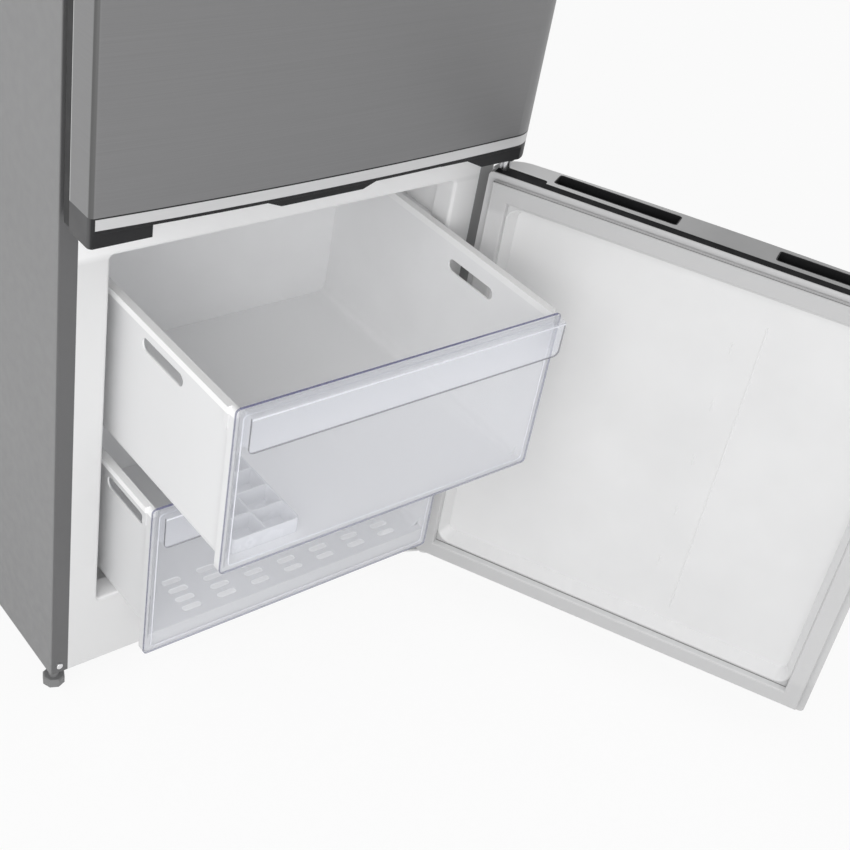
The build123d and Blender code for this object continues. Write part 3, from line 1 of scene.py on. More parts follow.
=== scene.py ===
import json
import math

import bmesh
import bpy
from mathutils import Matrix, Vector


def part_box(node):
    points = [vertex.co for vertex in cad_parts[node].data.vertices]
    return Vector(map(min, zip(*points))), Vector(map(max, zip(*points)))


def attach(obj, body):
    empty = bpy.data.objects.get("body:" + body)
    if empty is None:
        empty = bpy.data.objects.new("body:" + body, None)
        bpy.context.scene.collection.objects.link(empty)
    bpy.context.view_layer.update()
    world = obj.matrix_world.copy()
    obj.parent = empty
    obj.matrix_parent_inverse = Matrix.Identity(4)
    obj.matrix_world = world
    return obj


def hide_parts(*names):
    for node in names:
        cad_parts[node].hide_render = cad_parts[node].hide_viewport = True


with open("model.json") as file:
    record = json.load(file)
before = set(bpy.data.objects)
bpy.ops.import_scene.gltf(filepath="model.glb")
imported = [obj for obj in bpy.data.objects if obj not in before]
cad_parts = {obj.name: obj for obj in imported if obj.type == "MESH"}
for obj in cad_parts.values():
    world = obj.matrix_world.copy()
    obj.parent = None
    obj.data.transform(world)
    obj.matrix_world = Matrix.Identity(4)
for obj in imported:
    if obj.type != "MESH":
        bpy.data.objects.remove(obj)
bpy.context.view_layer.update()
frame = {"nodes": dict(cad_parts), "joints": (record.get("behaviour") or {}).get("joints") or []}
nodes_by_name = frame["nodes"]
joints = {joint["name"]: joint for joint in frame["joints"]}

# Camera of the photograph, in the part's frame
CAMERA_AT = Vector((-1.0658, -1.7200, 1.6926))
CAMERA_RIGHT = Vector((0.77744, -0.60833, 0.15974))
CAMERA_UP = Vector((0.26161, 0.54373, 0.79744))
CAMERA_BACK = Vector((-0.57197, -0.57818, 0.58186))
CAMERA_REACH = 50
LENS_MM = 62.05
SENSOR_MM = 36.0

# Light
KEY_LAMP = {"at": (-3.4, -2.2, 2.8), "aim": (0, -0.4, 0.7), "size": 2.4, "power": 38}
FRONT_LAMP = {"at": (-1.9, -3.0, 1.1), "aim": (0, -0.3, 0.5), "size": 2.0, "power": 36}
WORLD_LEVEL = 0.60
FLOOR_HALF = 6.0
FLOOR_OWN_WHITE = 0.9  # share of the floor's look that takes no shadow

# Directions of the part
LEFT, RIGHT = (-1, 0, 0), (1, 0, 0)
FORWARD, BACKWARD = (0, -1, 0), (0, 1, 0)
DOWN, UP = (0, 0, -1), (0, 0, 1)
FRONT_LEFT = (-math.sqrt(0.5), -math.sqrt(0.5), 0)

# Places taken from the CAD
MM = 0.001
FREEZER_DOOR_OPEN = math.radians(117.5)
HINGE_AXIS = Vector(joints["freezer_door_hinge"]["pos_m"])
DOOR_TURN = Matrix.Rotation(FREEZER_DOOR_OPEN, 3, "Z")
DOOR_BACKWARD = DOOR_TURN @ Vector(BACKWARD)
DOOR_TO_HINGE = DOOR_TURN @ Vector(RIGHT)
DOOR_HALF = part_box("fridge_door_frame")[1].x
DOOR_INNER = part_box("fridge_door_frame")[1].y
DOORS_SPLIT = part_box("fridge_door_frame")[0].z
STEEL_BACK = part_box("fridge_door_panel")[1].y
BORDER_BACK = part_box("freezer_liner")[0].y + 1 * MM

# Places where a colour changes
# painted highlight along the fridge door steel's back edge
HIGHLIGHT_EDGE = 1.4 * MM  # width of the steel's bright back edge
# limits of the painted shade on the freezer liner's front border
BORDER_TOP = 750 * MM
LIP_RIGHT = 260 * MM
TUB_SIDE = 252 * MM  # how far left the drawers' outer sides begin
TUB_AHEAD = 410 * MM  # how far forward the drawers' fronts begin
TUB_SPLIT = 440 * MM  # height between the two drawers
# half width of the painted light along the tubs' rims
RIM_BAND = 11 * MM
DOOR_LOW_BAND = 115 * MM  # height of the freezer door's lower border
DOOR_MIDDLE = 500 * MM
SEAL_TOP = 716 * MM
# bands of painted shade in the seal's creases
SEAL_ROOT_SHADE = (-0.1 * MM, 1.6 * MM)  # behind the door's inner face, like the folds
SEAL_FOLD_SHADES = ((-0.1 * MM, 2.3 * MM), (9.6 * MM, 11.6 * MM))
FOOT_SCREW_TOP = 100 * MM  # only the hinges' screws lie above
# the painted light on the freezer door's top cap rises over this range
CAP_FADE = (-0.80, -0.50)  # along the open freezer door, towards its hinge

# Over what length one colour runs into another
BAND_SOFT = 0.3 * MM
HIGHLIGHT_EDGE_SOFT = 0.4 * MM
THIN_SOFT = 1 * MM
BORDER_SOFT = 2 * MM
SOFT = 8 * MM
WIDE_SOFT = 10 * MM
MIDDLE_FADE = 100 * MM
# the painted shade on the cabinet's paint grows over this height towards the floor
SIDE_FADE = 420 * MM

# How squarely a face looks along a direction: where its colour begins, and where it is full
SLOPES = (0.2, 0.5)
SEAL_SIDES = (0.3, 0.7)
SHARP_SIDE = (0.85, 0.98)
SHARP_FOLD = (0.84, 0.93)


# Masks: where a surface takes another colour

def step(made, value, start, full):
    """0 up to a start, then rising to 1."""
    node = made.node_tree.nodes.new("ShaderNodeMapRange")
    node.inputs["From Min"].default_value = start
    node.inputs["From Max"].default_value = full
    made.node_tree.links.new(value, node.inputs["Value"])
    return node.outputs["Result"]


def along(made, kind, axis):
    """How far a surface's normal or its place reaches along an axis of the part."""
    tree = made.node_tree
    source = tree.nodes.new("ShaderNodeTexCoord")
    product = tree.nodes.new("ShaderNodeVectorMath")
    product.operation = "DOT_PRODUCT"
    product.inputs[1].default_value = axis
    tree.links.new(source.outputs[kind], product.inputs[0])
    return product.outputs["Value"]


def facing(made, axis, start=0.6, full=0.9):
    """The faces that look along an axis of the part."""
    return step(made, along(made, "Normal", axis), start, full)


def beyond(made, axis, start, full):
    """What lies past a place along an axis of the part."""
    return step(made, along(made, "Object", axis), start, full)


def above(made, height, soft=SOFT):
    """What lies above a height."""
    return beyond(made, UP, height, height + soft)


def below(made, height, soft=SOFT):
    """What lies below a height."""
    return beyond(made, DOWN, -height, -height + soft)


def where_both(made, first, second):
    """What two masks share."""
    node = made.node_tree.nodes.new("ShaderNodeMath")
    node.operation = "MULTIPLY"
    made.node_tree.links.new(first, node.inputs[0])
    made.node_tree.links.new(second, node.inputs[1])
    return node.outputs["Value"]


def band(made, axis, start, end, soft=BAND_SOFT):
    """What lies between two places along an axis of the part."""
    past = beyond(made, axis, start - soft, start + soft)
    before = beyond(made, [-a for a in axis], -end - soft, -end + soft)
    return where_both(made, past, before)


def door_band(made, limits):
    """A band in the depth of the open freezer door, measured from the door's inner face."""
    inner = HINGE_AXIS.dot(DOOR_BACKWARD) + DOOR_INNER - HINGE_AXIS.y
    start, end = limits
    return band(made, DOOR_BACKWARD, inner + start, inner + end)


def patch(made, mask, colour):
    """Give the part of a surface that a mask picks another colour."""
    tree = made.node_tree
    target = tree.nodes["Principled BSDF"].inputs["Base Color"]
    mix = tree.nodes.new("ShaderNodeMix")
    mix.data_type = "RGBA"
    factor, under, over = mix.inputs[0], mix.inputs[6], mix.inputs[7]
    tree.links.new(mask, factor)
    tree.links.new(target.links[0].from_socket, under)
    over.default_value = (*colour, 1)
    tree.links.new(mix.outputs[2], target)


# Materials: noise scales are per metre, depths and edges in metres

NOISE_LOW, NOISE_HIGH = 0.3, 0.7  # the range that noise mostly keeps to
RELIEF_STRENGTH = 0.6
BEVEL_SAMPLES = 4
BRUSH_STRETCH = (6, 6, 1500)
SHALLOW = 0.00002
GRAINY = 0.00003
COARSE = 0.00005


def new_material(name):
    """An empty node material and its shader."""
    made = bpy.data.materials.new(name)
    made.use_nodes = True
    return made, made.node_tree, made.node_tree.nodes["Principled BSDF"]


def noise(tree, scale, detail, stretch=(1, 1, 1)):
    """Noise in the part's own coordinates, stretched along an axis where asked."""
    place = tree.nodes.new("ShaderNodeTexCoord")
    mapping = tree.nodes.new("ShaderNodeMapping")
    mapping.inputs["Scale"].default_value = stretch
    tree.links.new(place.outputs["Object"], mapping.inputs["Vector"])
    texture = tree.nodes.new("ShaderNodeTexNoise")
    texture.inputs["Scale"].default_value = scale
    texture.inputs["Detail"].default_value = detail
    tree.links.new(mapping.outputs["Vector"], texture.inputs["Vector"])
    return texture.outputs["Fac"]


def roughen(tree, shader, value, low, high):
    """Let a noise value move the roughness between two values."""
    node = tree.nodes.new("ShaderNodeMapRange")
    node.inputs["From Min"].default_value = NOISE_LOW
    node.inputs["From Max"].default_value = NOISE_HIGH
    node.inputs["To Min"].default_value = low
    node.inputs["To Max"].default_value = high
    tree.links.new(value, node.inputs["Value"])
    tree.links.new(node.outputs["Result"], shader.inputs["Roughness"])


def tint(tree, shader, value, colour, change):
    """Let a noise value make the base colour a little darker and lighter."""
    ramp = tree.nodes.new("ShaderNodeValToRGB")
    darker, lighter = ramp.color_ramp.elements
    darker.position = NOISE_LOW
    lighter.position = NOISE_HIGH
    darker.color = [c * (1 - change) for c in colour] + [1]
    lighter.color = [min(1, c * (1 + change)) for c in colour] + [1]
    tree.links.new(value, ramp.inputs["Fac"])
    tree.links.new(ramp.outputs["Color"], shader.inputs["Base Color"])


def relief(tree, shader, value, depth, edge=0.0):
    """Bump from a height, over edges that are rounded by a small radius."""
    bump = tree.nodes.new("ShaderNodeBump")
    bump.inputs["Strength"].default_value = RELIEF_STRENGTH
    bump.inputs["Distance"].default_value = depth
    tree.links.new(value, bump.inputs["Height"])
    if edge > 0:
        bevel = tree.nodes.new("ShaderNodeBevel")
        bevel.samples = BEVEL_SAMPLES
        bevel.inputs["Radius"].default_value = edge
        tree.links.new(bevel.outputs["Normal"], bump.inputs["Normal"])
    tree.links.new(bump.outputs["Normal"], shader.inputs["Normal"])


def plastic(name, colour, rough, grain=700.0, depth=GRAINY, change=0.025, edge=0.8 * MM, gloss=0.5):
    """Moulded plastic: faint mottling, a fine grain and softened edges."""
    made, tree, shader = new_material(name)
    shader.inputs["Specular IOR Level"].default_value = gloss
    tint(tree, shader, noise(tree, scale=7.0, detail=3.0), colour, change)
    roughen(tree, shader, noise(tree, scale=40.0, detail=3.0), low=rough * 0.9, high=rough * 1.12)
    relief(tree, shader, noise(tree, grain, detail=2.0), depth, edge)
    return made


def paint(name, colour, rough, metal=0.0):
    """Sprayed paint with a faint orange peel."""
    made, tree, shader = new_material(name)
    shader.inputs["Metallic"].default_value = metal
    tint(tree, shader, noise(tree, scale=3.0, detail=4.0), colour, change=0.03)
    roughen(tree, shader, noise(tree, scale=60.0, detail=2.0), low=rough * 0.9, high=rough * 1.1)
    relief(tree, shader, noise(tree, scale=420.0, detail=2.0), GRAINY, edge=0.6 * MM)
    return made


def brushed(name, colour, rough, metal, change=0.05):
    """Metal brushed level: long fine lines, in colour, gloss and relief."""
    made, tree, shader = new_material(name)
    shader.inputs["Metallic"].default_value = metal
    lines = noise(tree, scale=1.0, detail=5.0, stretch=BRUSH_STRETCH)
    tint(tree, shader, lines, colour, change)
    roughen(tree, shader, lines, low=rough * 0.85, high=rough * 1.15)
    relief(tree, shader, lines, SHALLOW)
    return made


def bare_metal(name, colour, rough, change=0.08):
    """Bare metal with a cloudy surface."""
    made, tree, shader = new_material(name)
    shader.inputs["Metallic"].default_value = 1.0
    tint(tree, shader, noise(tree, scale=60.0, detail=4.0), colour, change)
    roughen(tree, shader, noise(tree, scale=25.0, detail=3.0), low=rough * 0.8, high=rough * 1.2)
    relief(tree, shader, noise(tree, scale=500.0, detail=2.0), SHALLOW, edge=0.4 * MM)
    return made


def clear(name, colour, rough, alpha, edge=0.6 * MM):
    """A thin clear sheet: what is behind it shows through a faint tint."""
    made, tree, shader = new_material(name)
    tint(tree, shader, noise(tree, scale=9.0, detail=2.0), colour, change=0.01)
    shader.inputs["Alpha"].default_value = alpha
    shader.inputs["Specular IOR Level"].default_value = 1.0
    roughen(tree, shader, noise(tree, scale=30.0, detail=3.0), low=rough * 0.7, high=rough * 1.3)
    relief(tree, shader, noise(tree, scale=160.0, detail=2.0), SHALLOW / 2, edge)
    return made


def cabinet_paint():
    """Grey paint: darker towards the floor as painted shade, darker on the front flange, and lifted by
    painted light on the flange beside the freezer door's hinges, where the open door shades it.
    """
    made = paint("cabinet_paint", (0.252, 0.252, 0.255), rough=0.42, metal=0.2)
    # painted shade: the paint darkens towards the floor
    patch(made, below(made, SIDE_FADE, SIDE_FADE), (0.216, 0.216, 0.219))
    flange = facing(made, FORWARD)
    patch(made, flange, (0.128, 0.128, 0.130))
    # painted light: the flange beside the hinges is lifted where the open freezer door shades it
    lit_beside_hinges = where_both(made, beyond(made, RIGHT, 0, DOOR_HALF / 2), below(made, DOORS_SPLIT))
    patch(made, where_both(made, flange, lit_beside_hinges), (0.33, 0.33, 0.332))
    return made


def fridge_door_steel():
    """Brushed steel with painted light on its left side, a painted dark reflection along the front corner and
    a painted highlight along the back edge of the side.
    """
    made = brushed("brushed_fridge_door", (0.202, 0.202, 0.205), rough=0.40, metal=0.4)
    # painted light: the left side is lighter, as the light falls from the left
    side = facing(made, LEFT, *SHARP_SIDE)
    patch(made, side, (0.243, 0.243, 0.246))
    # painted reflection: a dark line along the rounded front corner
    patch(made, facing(made, FRONT_LEFT, *SHARP_FOLD), (0.10, 0.10, 0.10))
    # painted highlight: a thin bright line along the side's back edge
    edge_start = STEEL_BACK - HIGHLIGHT_EDGE
    back_highlight = beyond(made, BACKWARD, edge_start, edge_start + HIGHLIGHT_EDGE_SOFT)
    patch(made, where_both(made, side, back_highlight), (0.62, 0.62, 0.62))
    return made


def lower_cap_plastic():
    """Black, with painted light making its left end dark grey."""
    made = plastic("lower_cap_plastic", (0.016, 0.016, 0.017), rough=0.42, depth=COARSE, gloss=0.25)
    # painted light: the end that faces the light from the left is lighter
    patch(made, facing(made, LEFT), (0.084, 0.084, 0.086))
    return made


def top_cap_plastic():
    """Grey, with painted light making it lighter towards the hinge."""
    made = plastic("top_cap_plastic", (0.375, 0.375, 0.378), rough=0.45)
    # painted light: the cap grows lighter towards the hinge
    patch(made, beyond(made, DOOR_TO_HINGE, *CAP_FADE), (0.73, 0.73, 0.733))
    return made


def freezer_seal_plastic():
    """Grey rubber with painted light and shade: darker on its lower run and on its face near the top, lighter
    on the upward faces of the lower run and on the faces turned towards the hinge, with dark lines of painted
    shade in the two folds along its upper side and in the root along its lower one.
    """
    made = plastic("freezer_seal_rubber", (0.585, 0.585, 0.588), rough=0.62, grain=300.0, edge=0.4 * MM)
    # painted shade: the lower run is darker
    low = below(made, DOOR_LOW_BAND, WIDE_SOFT)
    patch(made, low, (0.55, 0.55, 0.553))
    # painted light: the upward faces of the lower run are lighter
    patch(made, where_both(made, low, facing(made, UP, *SEAL_SIDES)), (0.76, 0.76, 0.763))
    # painted light: the faces turned towards the hinge are lighter
    patch(made, facing(made, DOOR_TO_HINGE, *SEAL_SIDES), (0.72, 0.72, 0.723))
    # painted shade: the face of the top run, under the top cap, is darker
    top = where_both(made, facing(made, DOOR_BACKWARD), above(made, SEAL_TOP))
    patch(made, top, (0.525, 0.525, 0.528))
    # painted shade: a dark line in the crease at the root of the lower run
    patch(made, where_both(made, low, door_band(made, SEAL_ROOT_SHADE)), (0.12, 0.12, 0.122))
    # painted shade: dark lines in the two folds along the upper side
    upper = where_both(made, facing(made, UP, *SLOPES), above(made, DOOR_MIDDLE, MIDDLE_FADE))
    for fold in SEAL_FOLD_SHADES:
        patch(made, where_both(made, upper, door_band(made, fold)), (0.19, 0.19, 0.192))
    return made


def liner_plastic():
    """White, with painted shade making the left and lower parts of the freezer's broad front border a little
    greyer.
    """
    made = plastic("white_liner", (0.91, 0.91, 0.912), rough=0.38, depth=SHALLOW)
    # painted shade: the front-facing border below the top lip is greyer, except on its right part
    border = where_both(made, facing(made, FORWARD), below(made, BORDER_TOP, WIDE_SOFT))
    border = where_both(made, border, beyond(made, FORWARD, -BORDER_BACK - BORDER_SOFT, -BORDER_BACK))
    patch(made, border, (0.73, 0.73, 0.732))
    right = beyond(made, RIGHT, LIP_RIGHT, LIP_RIGHT + SOFT)
    patch(made, where_both(made, border, right), (0.91, 0.91, 0.912))
    return made


def tub_plastic():
    """White, with painted light and shade: greyer on the outer left side and darker still below the split
    between the drawers, greyer on the frame of the front, and lighter on floors and rims.
    """
    made = plastic("white_tub", (0.91, 0.912, 0.918), rough=0.42)
    outside = beyond(made, LEFT, TUB_SIDE, TUB_SIDE + THIN_SOFT)
    # painted shade on the outer left sides, and below the split the painted shadow of the upper drawer
    left_side = where_both(made, facing(made, LEFT), outside)
    patch(made, left_side, (0.80, 0.803, 0.81))
    patch(made, where_both(made, left_side, below(made, TUB_SPLIT)), (0.72, 0.723, 0.73))
    # painted light: floors and other upward faces are lighter
    patch(made, facing(made, UP), (0.97, 0.972, 0.978))
    # painted shade: the front-facing frame of the front is greyer
    ahead = beyond(made, FORWARD, TUB_AHEAD, TUB_AHEAD + WIDE_SOFT)
    patch(made, where_both(made, facing(made, FORWARD), ahead), (0.76, 0.763, 0.77))
    # painted light: a lighter band along each tub's rim, where the rim's fold would catch the light
    for node in ("upper_drawer_tub", "lower_drawer_tub"):
        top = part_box(node)[1].z
        patch(made, band(made, UP, top - RIM_BAND, top + RIM_BAND), (0.97, 0.97, 0.97))
    return made


def door_frame_plastic():
    """Light grey, with painted shade making it a little darker below the tray."""
    made = plastic("frame_grey", (0.59, 0.59, 0.593), rough=0.5)
    # painted shade on the lower border
    patch(made, below(made, DOOR_LOW_BAND, WIDE_SOFT), (0.55, 0.55, 0.553))
    return made


def door_tray_plastic():
    """White, with painted light on the slopes that lie in the shade."""
    made = plastic("door_tray", (0.74, 0.74, 0.742), rough=0.38, depth=SHALLOW)
    # painted light on the slopes that lie in the shade
    for direction in (UP, DOOR_TO_HINGE):
        patch(made, facing(made, direction, *SLOPES), (0.87, 0.87, 0.872))
    return made


def screw_metal():
    """Zinc on the screw in the cabinet's foot, dark on those of the hinges."""
    made = bare_metal("screw_metal", (0.80, 0.80, 0.81), rough=0.35)
    patch(made, above(made, FOOT_SCREW_TOP, WIDE_SOFT), (0.05, 0.05, 0.052))
    return made


side_paint = cabinet_paint()
fridge_steel = fridge_door_steel()
freezer_steel = brushed("brushed_freezer_door", (0.202, 0.202, 0.205), rough=0.40, metal=0.4)
white_liner = liner_plastic()
door_tray = door_tray_plastic()
fridge_tray = plastic("fridge_door_tray", (0.76, 0.76, 0.762), rough=0.38, depth=SHALLOW)
white_tub = tub_plastic()
clear_front = clear("clear_front", (0.90, 0.92, 1.0), rough=0.10, alpha=0.19)
clear_edge = clear("clear_edge", (0.30, 0.31, 0.42), rough=0.20, alpha=0.55, edge=0)
clear_violet = clear("clear_violet", (0.27, 0.27, 0.56), rough=0.20, alpha=0.40, edge=0)
clear_grey = clear("clear_grey", (0.22, 0.22, 0.24), rough=0.20, alpha=0.60, edge=0)
# white, for the stiffening ribs and for the painted highlight along each pull
clear_rib_and_highlight = clear("clear_rib_and_highlight", (0.93, 0.94, 1.0), rough=0.25, alpha=0.75, edge=0)
clear_bin = clear("clear_bin", (0.92, 0.94, 0.98), rough=0.12, alpha=0.13)
tray_plastic = clear("tray_plastic", (0.90, 0.91, 0.94), rough=0.25, alpha=0.85)
lens_plastic = clear("lens_plastic", (0.92, 0.92, 0.90), rough=0.30, alpha=0.7)
shelf_glass = clear("shelf_glass", (0.76, 0.90, 0.84), rough=0.03, alpha=0.09)
cap_grey = plastic("cap_grey", (0.36, 0.36, 0.363), rough=0.45)
top_cap = top_cap_plastic()
frame_grey = door_frame_plastic()
# painted shade: the fridge door's frame is made dark, as it stands in the shade of the gap to the cabinet
frame_dark = plastic("frame_dark", (0.03, 0.03, 0.031), rough=0.5, gloss=0.2)
black_plastic = plastic("black_plastic", (0.016, 0.016, 0.017), rough=0.45, depth=COARSE, gloss=0.25)
lower_cap = lower_cap_plastic()
black_strip = plastic("black_strip", (0.010, 0.010, 0.011), rough=0.7, depth=COARSE, gloss=0.1)
cover_plastic = plastic("cover_plastic", (0.22, 0.22, 0.225), rough=0.5)
silver_trim = brushed("silver_trim", (0.60, 0.60, 0.605), rough=0.42, metal=0.35, change=0.03)
seal_rubber = plastic("seal_rubber", (0.585, 0.585, 0.588), rough=0.62, grain=300.0, edge=0.4 * MM)
freezer_seal_rubber = freezer_seal_plastic()
foam = plastic("foam", (0.80, 0.70, 0.42), rough=0.9, grain=260.0, depth=0.4 * MM, change=0.1)
hinge_paint = paint("hinge_paint", (0.012, 0.012, 0.013), rough=0.45)
pale_paint = paint("pale_paint", (0.72, 0.72, 0.722), rough=0.45)
machine_paint = paint("machine_paint", (0.015, 0.015, 0.016), rough=0.35)
galvanised = bare_metal("galvanised", (0.55, 0.56, 0.57), rough=0.45, change=0.16)
pin_steel = bare_metal("pin_steel", (0.80, 0.80, 0.81), rough=0.22)
screw_zinc = screw_metal()
copper = bare_metal("copper", (0.72, 0.36, 0.22), rough=0.32, change=0.14)
fin_aluminium = bare_metal("fin_aluminium", (0.75, 0.76, 0.77), rough=0.35)
mount_rubber = plastic("mount_rubber", (0.02, 0.02, 0.02), rough=0.8)
fan_plastic = plastic("fan_plastic", (0.06, 0.06, 0.062), rough=0.5)
foot_plastic = plastic("foot_plastic", (0.20, 0.20, 0.202), rough=0.4)
knob_plastic = plastic("knob_plastic", (0.62, 0.63, 0.65), rough=0.35)

NODE_MATERIALS = {
    side_paint: ["outer_shell"],
    fridge_steel: ["fridge_door_panel"],
    freezer_steel: ["freezer_door_panel"],
    white_liner: [
        "freezer_liner", "fridge_liner", "control_housing", "shelf_trims", "evaporator_cover", "drawer_rails",
    ],
    door_tray: ["freezer_door_liner"],
    fridge_tray: ["fridge_door_liner"],
    white_tub: ["upper_drawer_tub", "lower_drawer_tub"],
    clear_front: ["upper_drawer_front", "lower_drawer_front"],
    clear_bin: ["door_bins", "crispers"],
    tray_plastic: ["ice_tray"],
    lens_plastic: ["lamp_lens"],
    shelf_glass: ["glass_shelves"],
    cap_grey: ["fridge_door_top_cap", "freezer_door_bottom_cap"],
    top_cap: ["freezer_door_top_cap"],
    frame_grey: ["freezer_door_frame"],
    frame_dark: ["fridge_door_frame"],
    lower_cap: ["fridge_door_bottom_cap"],
    black_plastic: [
        "freezer_door_grips", "drip_tray", "back_spacers", "mains_inlet", "left_roller", "right_roller",
    ],
    black_strip: ["freezer_door_hinge_trim"],
    cover_plastic: ["top_hinge_cover"],
    silver_trim: ["fridge_door_trim"],
    seal_rubber: ["fridge_door_gasket"],
    freezer_seal_rubber: ["freezer_door_gasket"],
    foam: ["cabinet_insulation", "fridge_door_insulation", "freezer_door_insulation"],
    hinge_paint: ["top_hinge", "middle_hinge"],
    pale_paint: ["bottom_hinge"],
    machine_paint: ["compressor", "condenser"],
    galvanised: ["back_panel", "base_pan", "compressor_plate", "mullion_beam", "roller_brackets"],
    pin_steel: ["hinge_pins"],
    screw_zinc: ["hinge_screws"],
    copper: ["refrigerant_pipes"],
    fin_aluminium: ["evaporator"],
    mount_rubber: ["compressor_mounts"],
    fan_plastic: ["evaporator_fan", "fan_motor"],
    foot_plastic: ["left_foot", "right_foot"],
    knob_plastic: ["thermostat_knob"],
}
for finish, names in NODE_MATERIALS.items():
    for name in names:
        slots = nodes_by_name[name].data.materials
        slots.clear()
        slots.append(finish)


# Pieces

ARC_STEPS = 5


def add_piece(name, mesh, finish, body):
    """Put a finished mesh on a body."""
    piece = bpy.data.objects.new(name, mesh)
    bpy.context.scene.collection.objects.link(piece)
    mesh.materials.append(finish)
    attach(piece, body)
    return piece


def door_turn(point):
    """Carry a point of the shut freezer door to where the door stands at rest."""
    return HINGE_AXIS + DOOR_TURN @ (point - HINGE_AXIS)


def stay(point):
    """Leave a point where it is."""
    return point


def arc_path(x, z, radius, start):
    """A quarter of a circle with its outward directions, from a starting angle."""
    path = []
    for k in range(ARC_STEPS + 1):
        angle = math.radians(start + 90 * k / ARC_STEPS)
        out = Vector((math.cos(angle), 0, math.sin(angle)))
        path.append((Vector((x, 0, z)) + radius * out, out))
    return path


def ring_path(half, low, high, corner):
    """Round an upright rectangle with round corners."""
    path = []
    for x, z, start in (
        (half - corner, high - corner, 0), (-half + corner, high - corner, 90),
        (-half + corner, low + corner, 180), (half - corner, low + corner, 270),
    ):
        path += arc_path(x, z, corner, start)
    return path


def mitred_path(half, low, high):
    """Round an upright rectangle with square corners."""
    return [
        (Vector((x, 0, z)), Vector((math.copysign(1, x), 0, up)))
        for x, z, up in ((half, high, 1), (-half, high, 1), (-half, low, -1), (half, low, -1))
    ]


def apron_path(half, low, high, corner):
    """Down one side, along the bottom and up the other side, with round corners."""
    left = (Vector((-half, 0, high)), Vector(LEFT))
    right = (Vector((half, 0, high)), Vector(RIGHT))
    round_left = arc_path(-half + corner, low + corner, corner, 180)
    round_right = arc_path(half - corner, low + corner, corner, 270)
    return [left] + round_left + round_right + [right]


def level_path(half, z):
    """Straight across, with up as the outward direction."""
    return [(Vector((x, 0, z)), Vector(UP)) for x in (-half, half)]


def join_sections(work, sections, closed):
    """Faces between the sections of a sweep, which runs round or is closed by its two ends."""
    pairs = list(zip(sections, sections[1:]))
    if closed:
        pairs.append((sections[-1], sections[0]))
    else:
        work.faces.new(sections[0])
        work.faces.new(sections[-1])
    for one, other in pairs:
        for k in range(len(one)):
            following = (k + 1) % len(one)
            work.faces.new((one[k], one[following], other[following], other[k]))


def finish_mesh(name, work):
    """Turn a worked mesh into one that can be placed."""
    mesh = bpy.data.meshes.new(name)
    bmesh.ops.recalc_face_normals(work, faces=work.faces)
    work.to_mesh(mesh)
    work.free()
    return mesh


def sweep(name, path, profile, place=stay, closed=True):
    """Sweep a closed profile of outward and depth values along a path."""
    work = bmesh.new()
    sections = []
    for point, out in path:
        section = []
        for across, y in profile:
            at = point + out * across
            at.y = y
            section.append(work.verts.new(place(at)))
        sections.append(section)
    join_sections(work, sections, closed)
    return finish_mesh(name, work)


def flat_band(thick, sunk, front, back):
    """Section of a thin strip that lies on an edge, a little sunk into it."""
    return [(-sunk, front), (thick, front), (thick, back), (-sunk, back)]


# Gaskets: a groove at the root and one fold on each outer side

FREEZER_SEAL = {"side": 12 * MM, "end": 9 * MM, "width": 27 * MM}
FRIDGE_SEAL = {"side": 16 * MM, "end": 6 * MM, "width": 22 * MM}
SEAL_OUTER = [  # millimetres past the seal's half width, and behind the door's inner face
    (-2.0, 0.0), (-2.0, 1.5), (0.0, 2.5), (0.0, 6.4), (-1.4, 7.3), (0.0, 8.2), (0.0, 12.0),
    (-0.6, 13.1), (-1.8, 13.7),
]
SEAL_INNER = [(2.2, 13.7), (0.6, 13.0), (0.0, 11.4), (0.0, 0.0)]


def gasket(name, body, heights, seal, place, node, rubber):
    """A folded seal in place of the plain ring."""
    reach = seal["width"] / 2
    profile = [(reach + a * MM, DOOR_INNER + d * MM) for a, d in SEAL_OUTER]
    profile += [(-reach + a * MM, DOOR_INNER + d * MM) for a, d in SEAL_INNER]
    low, high = heights
    path = mitred_path(
        DOOR_HALF - seal["side"] - reach, low + seal["end"] + reach, high - seal["end"] - reach
    )
    piece = add_piece(name, sweep(name, path, profile, place), rubber, body)
    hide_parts(node)


def heights_of(node):
    """Lowest and highest place of a node."""
    return [corner.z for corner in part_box(node)]


gasket(
    "fridge_door_seal", "fridge_door", heights_of("fridge_door_frame"), FRIDGE_SEAL, stay,
    "fridge_door_gasket", seal_rubber,
)
gasket(
    "freezer_door_seal", "freezer_door", heights_of("freezer_door_frame"), FREEZER_SEAL, door_turn,
    "freezer_door_gasket", freezer_seal_rubber,
)


# Clear fronts: tinted edges, the thin ribs that stiffen them, and a painted highlight along each pull

FRONT_SHEET = 3 * MM
FRONT_CORNER = 6 * MM
EDGE_THICK = 0.25 * MM
EDGE_SUNK = 0.2 * MM
RIB_INSET = 11 * MM
RIB_WIDE = 1.6 * MM
RIB_HIGH = 0.9 * MM
PULL_INSET = 9 * MM
PULL_HEIGHT = 55 * MM
PULL_SHEET = 2.5 * MM
PULL_CORNER = 8 * MM
# height of the painted highlight strip along each pull's top
HIGHLIGHT_HIGH = 2.6 * MM


